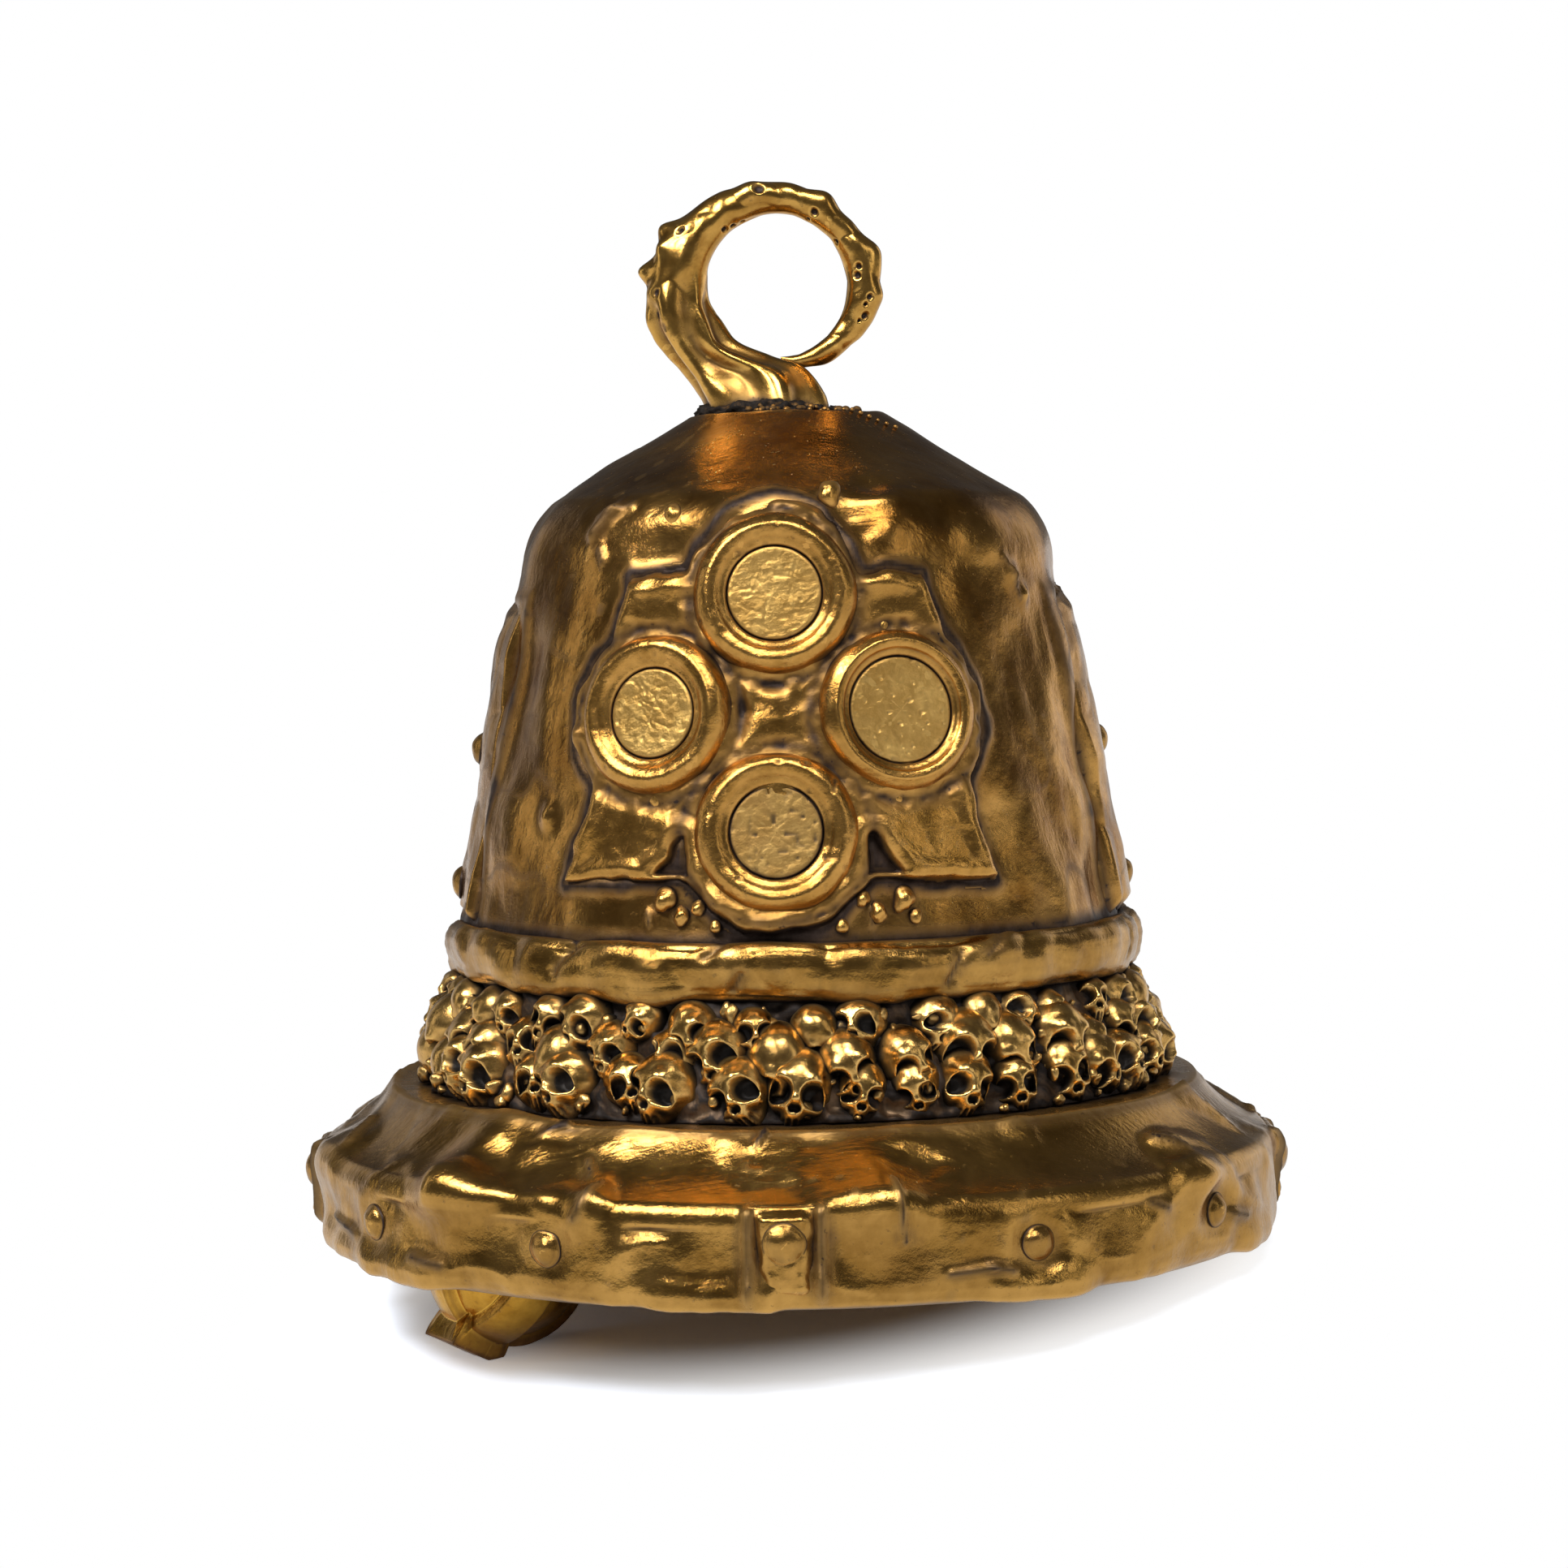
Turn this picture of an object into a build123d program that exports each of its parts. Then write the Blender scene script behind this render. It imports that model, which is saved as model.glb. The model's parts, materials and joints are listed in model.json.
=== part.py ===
from build123d import *

import os
from math import asin, atan2, cos, degrees, hypot, radians, sin

# Sanctus bell: a small cast altar bell with a hooked crown loop, a riveted mouth hoop and a loose clapper.
#
# Every piece is modelled in the bell's own frame: +Z runs up the bell's axis, the mouth plane is z = 0 and
# the decorated front faces -Y. An azimuth is measured from the front, positive towards +X. The clapper is
# longer than the bell is deep, so on a table the bell leans on its clapper's foot and on the far edge of
# its mouth. The last section turns every piece into that stance, with the table at z = 0.
# All sizes are in millimetres.

# ---------------------------------------------------------------- driving dimensions
wall = 2.6
fit_gap = 0.02                          # between pieces that are brazed, pressed or riveted together
running_gap = 0.05                      # radial clearance of a pin or a shoulder that turns
overcut = 0.1                           # how far a blind hole runs past the end of its shank
drill_start = 1.0                       # how far outside a face its holes start
through = 60.0                          # deeper than any cut has to reach

# how far each corner of the outline moves out and up when the outline is raised by 1 mm
crown_push, cone_push, shoulder_push = (0.5, 1.0), (0.5, 0.85), (0.9, 0.4)

crown_r, crown_z = 10.0, 82.7           # flat top of the bell
crown_floor_z = 79.7                    # the flat under it, inside
cone_r, cone_z = 24.0, 74.1             # foot of the crown's cone
shoulder_r, shoulder_z = 26.4, 70.7     # middle of the rounded shoulder
waist_top_r, waist_top_z = 27.3, 66.8
waist_mid_r, waist_mid_z = 30.3, 49.0
seat_r, band_top_z, band_low_z = 33.3, 31.8, 26.3   # seat of the plain band
ground_top_r, ground_low_r, ground_low_z = 33.4, 37.6, 15.3   # face of the frieze strip
strip_thickness = 1.2
lip_r, lip_z, lip_edge_z = 44.9, 7.2, 0.5           # the casting's mouth, inside the hoop
lip_bore_r, lip_ledge_z = 42.0, 6.3
flare_r, flare_z = 34.2, 13.8           # where the inside starts to flare
neck_r, neck_low_z = 30.4, 25.5         # narrowest part of the inside, behind the band
shoulder_floor_z = 69.7                 # middle of the rounded shoulder, inside
cone_floor_share = 0.52                 # of the wall, by which the cone's foot moves in on the inside
band_edge, band_bulge = 1.2, 2.0        # how far the band stands out at its edges and in the middle

hoop_ledge_r, hoop_r, hoop_ridge_z, heel_r = 41.0, 48.8, 9.8, 46.9
hoop_cove_r, hoop_cove_z = 44.2, 11.9   # middle of the hollow between ledge and ridge
ridge_land, ridge_drop, heel_z = 0.9, 0.8, 1.7
hoop_bore = 6.0                         # depth that goes right through the hoop
strap_width, strap_height = 6.2, 0.9
strap_low_z, strap_bevel_out, strap_bevel_up, strap_top_drop = 1.8, 0.3, 0.5, 1.5
strap_azimuths = (-1.4, 88.0, 178.6, -88.0)
rim_rivet_azimuths = (-55.5, -28.0, 26.5, 54.5, 124.5, 152.0, -153.5, -125.5)
rim_rivet_z, strap_rivet_z = 5.2, 6.4
shank_r, dome_share = 0.9, 0.72         # dome_share: where on the head's radius its arc is fixed
rim_rivet = {"head_r": 1.65, "rise": 0.8, "grip": 4.6}
strap_rivet = {"head_r": 1.9, "rise": 0.6, "grip": 5.4}
side_rivet = {"head_r": 1.8, "rise": 1.1, "grip": 2.4}

side_plate_azimuths = {"left": -92.0, "right": 92.0}
side_plate_width, side_plate_height, side_plate_middle_z, side_plate_thickness = 24.5, 32.0, 48.2, 1.3
side_plate_corner_r, side_plate_drill = 3.5, 4.0
side_rivet_heights, side_rivet_seat = (35.4, 49.2), 0.05

emblem_azimuth, emblem_z = -2.5, 53.0   # front plate with four ring bosses set crosswise
ring_r, ring_pitch, ring_step, ring_height = 7.8, 11.15, 22.2, 2.7
ring_root, ring_round, opening_root, opening_depth = 3.0, 1.3, 5.0, 12.0
plate_border, plate_thickness, disc_height = 1.2, 1.0, 1.7
barb_root, barb_reach, barb_rise = 8.0, 18.2, 17.2
disc_radii = {"left": 4.3, "right": 5.1, "top": 4.5, "bottom": 4.4}

skulls_in_row = 34
skull_rows = {"upper": 3.1, "lower": 8.6}           # distance of each row down the frieze's slope
cranium_r, cranium_at = 2.3, (0, 0.45, 0.1)
jaw_at, jaw_size = (0, -1.85, 0.85), (2.3, 1.9, 1.7)
eye_r, eye_places = 0.62, ((-0.85, 0, 2.2), (0.85, 0, 2.2))

eye_centre, eye_r_bore, eye_width = (-0.6, 95.8), 7.2, 3.0   # hole of the crown loop
eye_clearing, eye_band, eye_depth = 0.5, 1.1, 10.0
horn_sections = ((-66, 1.6), (-40, 2.6), (0, 3.8), (45, 3.6), (90, 3.6), (135, 5.0), (175, 6.4), (202, 6.6))
stem_sections = ((-8.1, 88.1, -44, 3.3), (-4.8, 85.9, -50, 3.6))   # x, z, direction in degrees, radius
foot_x, foot_r = -0.5, 6.2
bead_r, bead_height, bead_gap, bead_round, bead_middle = 8.0, 1.3, 0.1, 0.35, 0.8

stud_r, stud_end_z, stud_root = 3.0, 74.0, 1.5
washer_r, washer_thickness, washer_gap = 6.0, 1.0, 0.15
nut_flat_r, nut_height = 5.0, 4.0
screw_r, screw_depth, shoulder_screw_r, screw_head_r, screw_head_height = 1.5, 6.5, 2.2, 3.6, 2.0
tap_overrun, socket_flat_r, socket_depth = 0.5, 1.5, 1.3
clevis_plate, clevis_play, ear_gap, ear_thickness, ear_half_width = 2.0, 0.15, 8.0, 1.6, 2.8
clevis_overhang = 0.8
pivot_z, pin_r, pin_head_r, pin_head_height = 62.0, 1.0, 1.8, 0.8
pin_overhang, pin_bevel = 0.5, 0.3
barrel_r, side_play, rod_r, tenon_r = 3.2, 0.2, 1.7, 1.3
rod_into_barrel, tenon_into_rod, tenon_gap = 1.5, 1.0, 0.3

clapper_azimuth = -58.4
ball_r, strike_gap, ball_z = 8.6, 0.3, -0.5         # ball_z: height of the ball where it rests on the lip
collar_r, collar_top, tenon_depth, tip_pin_r = 3.4, 11.5, 7.0, 0.8
tip_pin_drop, tip_pin_overhang = 1.6, 0.4
foot_ball_r, foot_reach, foot_neck_r = 3.1, 6.9, 4.3

strike_r = lip_bore_r - ball_r - strike_gap
swing = degrees(atan2(strike_r, pivot_z - ball_z))
clapper_length = hypot(strike_r, pivot_z - ball_z)
slope_run = hypot(ground_low_r - ground_top_r, band_low_z - ground_low_z)
slope_pitch = degrees(atan2(ground_low_r - ground_top_r, band_low_z - ground_low_z))
waist_pitch = degrees(atan2(seat_r - waist_top_r, waist_top_z - band_top_z))
screw_head_z = stud_end_z - clevis_plate - 2 * clevis_play


# ---------------------------------------------------------------- shared shapes
def facing(azimuth, r, z, pitch=0.0):
    """Plane that touches the bell's outside, with its normal out and raised by pitch degrees."""
    a, p = radians(azimuth), radians(pitch)
    normal = (sin(a) * cos(p), -cos(a) * cos(p), sin(p))
    return Plane(origin=(r * sin(a), -r * cos(a), z), x_dir=(cos(a), sin(a), 0), z_dir=normal)


def outside(height):
    """Outside of the bell from the crown's edge to the foot of the waist, raised by height."""
    crown = (crown_r + crown_push[0] * height, crown_z + crown_push[1] * height)
    cone = (cone_r + cone_push[0] * height, cone_z + cone_push[1] * height)
    shoulder = (shoulder_r + shoulder_push[0] * height, shoulder_z + shoulder_push[1] * height)
    Line(crown, cone)
    ThreePointArc(cone, shoulder, (waist_top_r + height, waist_top_z))
    ThreePointArc(
        (waist_top_r + height, waist_top_z), (waist_mid_r + height, waist_mid_z),
        (seat_r + height, band_top_z),
    )


def raised_core(height):
    """Solid inside of the outline that outside draws."""
    with BuildPart() as core:
        with BuildSketch(Plane.XZ):
            with BuildLine():
                outside(height)
                Polyline(
                    (seat_r + height, band_top_z), (0, band_top_z), (0, crown_z + crown_push[1] * height),
                    (crown_r + crown_push[0] * height, crown_z + crown_push[1] * height),
                )
            make_face()
        revolve(axis=Axis.Z)
    return core.part


def waist_radius(z):
    """Radius of the waist at a height, on its arc."""
    arc = ThreePointArc((waist_top_r, waist_top_z), (waist_mid_r, waist_mid_z), (seat_r, band_top_z))
    share = (waist_top_z - z) / (waist_top_z - band_top_z)
    return (arc @ share).X


def side_rivet_face(azimuth, height):
    """Plane on the outside of a side plate, where a rivet's head sits."""
    seat = waist_radius(height) + side_plate_thickness + side_rivet_seat
    return facing(azimuth, seat, height, waist_pitch)


def rivet(head_r, rise, grip):
    """Round-headed rivet along +Z, with the underside of its head at the origin."""
    dome_r = (head_r**2 + rise**2) / (2 * rise)
    middle = head_r * dome_share
    sag = dome_r - (dome_r**2 - middle**2) ** 0.5
    with BuildPart() as piece:
        with BuildSketch(Plane.XZ):
            with BuildLine():
                Polyline((0, rise), (0, -grip), (shank_r, -grip), (shank_r, 0), (head_r, 0))
                ThreePointArc((head_r, 0), (middle, rise - sag), (0, rise))
            make_face()
        revolve(axis=Axis.Z)
    return piece.part


def skull():
    """Plain skull facing +Z with a flat back at z = 0: cranium, jaw and two eye sockets."""
    with BuildPart() as piece:
        with Locations(cranium_at):
            Sphere(cranium_r)
        with Locations(jaw_at):
            Box(*jaw_size)
        with Locations(*eye_places):
            Sphere(eye_r, mode=Mode.SUBTRACT)
        split(bisect_by=Plane.XY, keep=Keep.TOP)
    return piece.part


core = raised_core(fit_gap)

# ---------------------------------------------------------------- casting and its strips
with BuildPart() as bell_shell:
    with BuildSketch(Plane.XZ):
        with BuildLine():
            outside(0)
            Polyline(
                (seat_r, band_top_z), (seat_r, band_low_z),
                (ground_top_r - strip_thickness - fit_gap, band_low_z),
                (ground_low_r - strip_thickness - fit_gap, ground_low_z),
                (lip_r, lip_z), (lip_r, lip_edge_z), (lip_bore_r, lip_edge_z), (lip_bore_r, lip_ledge_z),
                (flare_r, flare_z), (neck_r, neck_low_z), (neck_r, band_top_z),
            )
            ThreePointArc(
                (neck_r, band_top_z), (waist_mid_r - wall, waist_mid_z), (waist_top_r - wall, waist_top_z)
            )
            ThreePointArc(
                (waist_top_r - wall, waist_top_z), (shoulder_r - wall, shoulder_floor_z),
                (cone_r - cone_floor_share * wall, cone_z - cone_push[1] * wall),
            )
            Polyline(
                (cone_r - cone_floor_share * wall, cone_z - cone_push[1] * wall), (crown_r, crown_floor_z),
                (stud_r + fit_gap, crown_floor_z), (stud_r + fit_gap, crown_z), (crown_r, crown_z),
            )
        make_face()
    revolve(axis=Axis.Z)
    for azimuth in rim_rivet_azimuths:
        with BuildSketch(facing(azimuth, lip_r + drill_start, rim_rivet_z)):
            Circle(shank_r + fit_gap)
        depth = lip_r + drill_start - (hoop_r - rim_rivet["grip"]) + overcut
        extrude(amount=-depth, mode=Mode.SUBTRACT)
    for azimuth in strap_azimuths:
        with BuildSketch(facing(azimuth, lip_r + drill_start, strap_rivet_z)):
            Circle(shank_r + fit_gap)
        depth = lip_r + drill_start - (hoop_r + strap_height - strap_rivet["grip"]) + overcut
        extrude(amount=-depth, mode=Mode.SUBTRACT)
    for azimuth in side_plate_azimuths.values():
        for height in side_rivet_heights:
            with BuildSketch(side_rivet_face(azimuth, height)):
                Circle(shank_r + fit_gap)
            extrude(amount=-(side_rivet["grip"] + overcut), mode=Mode.SUBTRACT)

with BuildPart() as waist_band:
    with BuildSketch(Plane.XZ):
        with BuildLine():
            Polyline(
                (seat_r + band_edge, band_low_z + fit_gap), (seat_r + fit_gap, band_low_z + fit_gap),
                (seat_r + fit_gap, band_top_z), (seat_r + band_edge, band_top_z),
            )
            ThreePointArc(
                (seat_r + band_edge, band_top_z), (seat_r + band_bulge, (band_top_z + band_low_z) / 2),
                (seat_r + band_edge, band_low_z + fit_gap),
            )
        make_face()
    revolve(axis=Axis.Z)

with BuildPart() as frieze_strip:
    with BuildSketch(Plane.XZ):
        with BuildLine():
            Polyline(
                (ground_top_r, band_low_z), (ground_low_r, ground_low_z + fit_gap),
                (ground_low_r - strip_thickness, ground_low_z + fit_gap),
                (ground_top_r - strip_thickness, band_low_z), close=True,
            )
        make_face()
    revolve(axis=Axis.Z)


def skull_row(distance, shift):
    """Places of one row of skulls, at a distance down the frieze's slope."""
    r = ground_top_r + (ground_low_r - ground_top_r) * distance / slope_run + fit_gap
    z = band_low_z - (band_low_z - ground_low_z) * distance / slope_run
    step = 360 / skulls_in_row
    return [facing((i + shift) * step, r, z, slope_pitch).location for i in range(skulls_in_row)]


with BuildPart() as skulls_upper:
    add([place * skull() for place in skull_row(skull_rows["upper"], 0.0)])

with BuildPart() as skulls_lower:
    add([place * skull() for place in skull_row(skull_rows["lower"], 0.5)])

# ---------------------------------------------------------------- mouth hoop, straps and rivets
with BuildPart() as rim_hoop:
    with BuildSketch(Plane.XZ):
        with BuildLine():
            ThreePointArc(
                (hoop_ledge_r, ground_low_z), (hoop_cove_r, hoop_cove_z), (hoop_r - ridge_land, hoop_ridge_z)
            )
            Polyline(
                (hoop_r - ridge_land, hoop_ridge_z), (hoop_r, hoop_ridge_z - ridge_drop),
                (hoop_r, heel_z), (heel_r, 0),
                (lip_r + fit_gap, 0), (lip_r + fit_gap, lip_z + fit_gap),
                (ground_low_r - strip_thickness + fit_gap, ground_low_z), (hoop_ledge_r, ground_low_z),
            )
        make_face()
    revolve(axis=Axis.Z)
    for azimuth in rim_rivet_azimuths:
        with BuildSketch(facing(azimuth, hoop_r + drill_start, rim_rivet_z)):
            Circle(shank_r + fit_gap)
        extrude(amount=-hoop_bore, mode=Mode.SUBTRACT)
    for azimuth in strap_azimuths:
        with BuildSketch(facing(azimuth, hoop_r + drill_start, strap_rivet_z)):
            Circle(shank_r + fit_gap)
        extrude(amount=-hoop_bore, mode=Mode.SUBTRACT)


def rim_strap(azimuth):
    """Short strap down the hoop's outside face, with its rivet hole."""
    with BuildPart() as strap:
        with BuildSketch(Plane.XZ):
            with BuildLine():
                Polyline(
                    (hoop_r + fit_gap, strap_low_z), (hoop_r + strap_height - strap_bevel_out, strap_low_z),
                    (hoop_r + strap_height, strap_low_z + strap_bevel_up),
                    (hoop_r + strap_height, hoop_ridge_z - strap_top_drop),
                    (hoop_r + fit_gap, hoop_ridge_z - ridge_drop), close=True,
                )
            make_face()
        revolve(axis=Axis.Z)
        with BuildSketch(facing(azimuth, 0, hoop_ridge_z / 2)):
            Rectangle(strap_width, 2 * hoop_ridge_z)
        extrude(amount=through, mode=Mode.INTERSECT)
        with BuildSketch(facing(azimuth, hoop_r + strap_height + drill_start, strap_rivet_z)):
            Circle(shank_r + fit_gap)
        extrude(amount=-hoop_bore, mode=Mode.SUBTRACT)
    return strap.part


with BuildPart() as rim_strap_front:
    add(rim_strap(strap_azimuths[0]))
with BuildPart() as rim_strap_right:
    add(rim_strap(strap_azimuths[1]))
with BuildPart() as rim_strap_back:
    add(rim_strap(strap_azimuths[2]))
with BuildPart() as rim_strap_left:
    add(rim_strap(strap_azimuths[3]))

with BuildPart() as rim_rivets:
    add([facing(a, hoop_r + fit_gap, rim_rivet_z).location * rivet(**rim_rivet) for a in rim_rivet_azimuths])

with BuildPart() as strap_rivets:
    strap_face = hoop_r + strap_height + fit_gap
    add([facing(a, strap_face, strap_rivet_z).location * rivet(**strap_rivet) for a in strap_azimuths])


# ---------------------------------------------------------------- side plates and their rivets
def side_plate(azimuth):
    """Plate bent to the waist's side, with rounded corners and two rivet holes."""
    with BuildPart() as plate:
        add(raised_core(side_plate_thickness))
        with BuildSketch(facing(azimuth, 0, side_plate_middle_z)):
            RectangleRounded(side_plate_width, side_plate_height, side_plate_corner_r)
        extrude(amount=through, mode=Mode.INTERSECT)
        add(core, mode=Mode.SUBTRACT)
        for height in side_rivet_heights:
            with BuildSketch(side_rivet_face(azimuth, height).offset(-side_plate_drill)):
                Circle(shank_r + fit_gap)
            extrude(amount=2 * side_plate_drill, mode=Mode.SUBTRACT)
    return plate.part


with BuildPart() as side_plate_left:
    add(side_plate(side_plate_azimuths["left"]))
with BuildPart() as side_plate_right:
    add(side_plate(side_plate_azimuths["right"]))

with BuildPart() as side_rivets:
    for azimuth in side_plate_azimuths.values():
        for height in side_rivet_heights:
            add(side_rivet_face(azimuth, height).location * rivet(**side_rivet))

# ---------------------------------------------------------------- front plate, ring bosses and discs
def ring_face(azimuth, z):
    """Plane on the waist's outside at the middle of a ring boss."""
    return facing(azimuth, waist_radius(z), z, waist_pitch)


ring_faces = {
    "left": ring_face(emblem_azimuth - ring_step, emblem_z),
    "right": ring_face(emblem_azimuth + ring_step, emblem_z),
    "top": ring_face(emblem_azimuth, emblem_z + ring_pitch),
    "bottom": ring_face(emblem_azimuth, emblem_z - ring_pitch),
}

with BuildPart() as front_plate:
    add(raised_core(plate_thickness))
    with BuildSketch(facing(emblem_azimuth, 0, emblem_z)):
        Circle(ring_pitch)
        with PolarLocations(ring_pitch, 4):
            Circle(ring_r + plate_border)
        for side in (-1, 1):
            for rise in (-1, 1):
                Polygon(
                    (0, rise * barb_root), (side * barb_root, 0), (side * barb_reach, rise * barb_rise),
                    align=None,
                )
    extrude(amount=through, mode=Mode.INTERSECT)
    add(core, mode=Mode.SUBTRACT)
    for face in ring_faces.values():
        with BuildSketch(face.offset(-opening_root)):
            Circle(ring_r + fit_gap)
        extrude(amount=opening_depth, mode=Mode.SUBTRACT)


def ring_boss(name):
    """Round-topped ring that stands on the waist, in its own opening of the front plate."""
    with BuildPart() as ring:
        with BuildSketch(ring_faces[name].offset(-ring_root)):
            Circle(ring_r)
            Circle(disc_radii[name] + fit_gap, mode=Mode.SUBTRACT)
        extrude(amount=ring_root + ring_height)
        top = ring.faces().filter_by(GeomType.PLANE).sort_by(SortBy.DISTANCE)[-1]
        fillet(top.outer_wire().edges(), ring_round)
        add(core, mode=Mode.SUBTRACT)
    return ring.part


def inset_disc(name):
    """Disc inside a ring boss."""
    with BuildPart() as disc:
        with BuildSketch(ring_faces[name].offset(-ring_root)):
            Circle(disc_radii[name])
        extrude(amount=ring_root + disc_height)
        add(core, mode=Mode.SUBTRACT)
    return disc.part


with BuildPart() as ring_boss_left:
    add(ring_boss("left"))
with BuildPart() as ring_boss_right:
    add(ring_boss("right"))
with BuildPart() as ring_boss_top:
    add(ring_boss("top"))
with BuildPart() as ring_boss_bottom:
    add(ring_boss("bottom"))
with BuildPart() as disc_left:
    add(inset_disc("left"))
with BuildPart() as disc_right:
    add(inset_disc("right"))
with BuildPart() as disc_top:
    add(inset_disc("top"))
with BuildPart() as disc_bottom:
    add(inset_disc("bottom"))


# ---------------------------------------------------------------- crown loop and its fixing
def horn_plane(x, z, direction):
    """Plane across the horn's centre line, which runs in the X-Z plane."""
    a = radians(direction)
    return Plane(origin=(x, 0, z), x_dir=(0, 1, 0), z_dir=(cos(a), 0, sin(a)))


with BuildPart() as crown_loop:
    for angle, thickness in horn_sections:
        a, reach = radians(angle), eye_r_bore + thickness / 2
        x, z = eye_centre[0] + reach * cos(a), eye_centre[1] + reach * sin(a)
        with BuildSketch(horn_plane(x, z, angle + 90)):
            Circle(thickness / 2)
    for x, z, direction, radius in stem_sections:
        with BuildSketch(horn_plane(x, z, direction)):
            Circle(radius)
    loft()
    x, z, direction, radius = stem_sections[-1]
    with BuildSketch(horn_plane(x, z, direction)):
        Circle(radius)
    with BuildSketch(horn_plane(foot_x, crown_z + fit_gap, -90)):
        Circle(foot_r)
    loft(ruled=True)
    eye_plane = Plane(origin=(eye_centre[0], 0, eye_centre[1]), x_dir=(1, 0, 0), z_dir=(0, -1, 0))
    with BuildSketch(eye_plane.offset(-eye_depth)):
        Circle(eye_r_bore + eye_clearing)
    extrude(amount=2 * eye_depth, mode=Mode.SUBTRACT)
    with BuildSketch(eye_plane.offset(-eye_width / 2)):
        Circle(eye_r_bore + eye_band)
        Circle(eye_r_bore, mode=Mode.SUBTRACT)
    extrude(amount=eye_width)
    with BuildSketch(Plane.XY.offset(stud_end_z)):
        Circle(stud_r)
    extrude(amount=crown_z + stud_root - stud_end_z)
    with BuildSketch(Plane.XY.offset(stud_end_z)):
        Circle(screw_r)
    extrude(amount=screw_depth + tap_overrun, mode=Mode.SUBTRACT)

with BuildPart() as braze_bead:
    with BuildSketch(Plane.XZ):
        with BuildLine():
            base, inner_r = crown_z + fit_gap, foot_r - foot_x + bead_gap
            Polyline((bead_r, base), (inner_r, base), (inner_r, base + bead_height))
            ThreePointArc(
                (inner_r, base + bead_height), (bead_r - bead_round, base + bead_middle), (bead_r, base)
            )
        make_face()
    revolve(axis=Axis.Z)
    add(crown_loop.part, mode=Mode.SUBTRACT)

with BuildPart() as hanger_washer:
    with BuildSketch(Plane.XY.offset(crown_floor_z - fit_gap - washer_thickness)):
        Circle(washer_r)
        Circle(stud_r + washer_gap, mode=Mode.SUBTRACT)
    extrude(amount=washer_thickness)

with BuildPart() as hanger_nut:
    with BuildSketch(Plane.XY.offset(crown_floor_z - 2 * fit_gap - washer_thickness - nut_height)):
        RegularPolygon(nut_flat_r, 6, major_radius=False)
        Circle(stud_r + fit_gap, mode=Mode.SUBTRACT)
    extrude(amount=nut_height)

with BuildPart() as hanger_screw:
    with BuildSketch(Plane.XY.offset(screw_head_z)):
        Circle(screw_r - fit_gap)
    extrude(amount=stud_end_z + screw_depth - screw_head_z)
    with BuildSketch(Plane.XY.offset(screw_head_z)):
        Circle(shoulder_screw_r)
    extrude(amount=stud_end_z - fit_gap - screw_head_z)
    with BuildSketch(Plane.XY.offset(screw_head_z - screw_head_height)):
        Circle(screw_head_r)
    extrude(amount=screw_head_height)
    with BuildSketch(Plane.XY.offset(screw_head_z - screw_head_height)):
        RegularPolygon(socket_flat_r, 6, major_radius=False)
    extrude(amount=socket_depth, mode=Mode.SUBTRACT)

# ---------------------------------------------------------------- swivel, with its pin along X
clevis_top_z = stud_end_z - clevis_play
ear_face = ear_gap / 2 + ear_thickness

with BuildPart() as swivel_clevis:
    with BuildSketch(Plane.XY.offset(clevis_top_z - clevis_plate)):
        Rectangle(2 * ear_face, 2 * (ear_half_width + clevis_overhang))
        Circle(shoulder_screw_r + running_gap, mode=Mode.SUBTRACT)
    extrude(amount=clevis_plate)
    for side in (-1, 1):
        with BuildSketch(Plane.YZ.offset(side * (ear_gap + ear_thickness) / 2)):
            with Locations((0, (pivot_z + clevis_top_z) / 2)):
                Rectangle(2 * ear_half_width, clevis_top_z - pivot_z)
            with Locations((0, pivot_z)):
                Circle(ear_half_width)
                Circle(pin_r + fit_gap, mode=Mode.SUBTRACT)
        extrude(amount=ear_thickness / 2, both=True)

with BuildPart() as swivel_pin:
    with BuildSketch(Plane.YZ.offset(-ear_face - pin_overhang)):
        with Locations((0, pivot_z)):
            Circle(pin_r)
    extrude(amount=2 * (ear_face + pin_overhang))
    for side in (-1, 1):
        with BuildSketch(Plane.YZ.offset(side * (ear_face + fit_gap + pin_head_height / 2))):
            with Locations((0, pivot_z)):
                Circle(pin_head_r)
        extrude(amount=pin_head_height / 2, both=True)
    chamfer(swivel_pin.faces().filter_by(Axis.X).group_by(Axis.X)[-1].edges(), pin_bevel)
    chamfer(swivel_pin.faces().filter_by(Axis.X).group_by(Axis.X)[0].edges(), pin_bevel)

# ---------------------------------------------------------------- clapper, hanging straight down
ball_centre_z = pivot_z - clapper_length
collar_z = ball_centre_z + collar_top
tip_pin_z = collar_z - tip_pin_drop

with BuildPart() as clapper_rod:
    with BuildSketch(Plane.YZ.offset(-(ear_gap / 2 - side_play))):
        with Locations((0, pivot_z)):
            Circle(barrel_r)
    extrude(amount=ear_gap - 2 * side_play)
    with BuildSketch(Plane.XY.offset(collar_z + fit_gap)):
        Circle(rod_r)
    extrude(amount=pivot_z - collar_z - rod_into_barrel)
    with BuildSketch(Plane.XY.offset(collar_z - tenon_depth)):
        Circle(tenon_r)
    extrude(amount=tenon_depth + tenon_into_rod)
    with BuildSketch(Plane.YZ.offset(-ear_gap)):
        with Locations((0, pivot_z)):
            Circle(pin_r + running_gap)
        with Locations((0, tip_pin_z)):
            Circle(tip_pin_r + fit_gap)
    extrude(amount=2 * ear_gap, mode=Mode.SUBTRACT)

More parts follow.
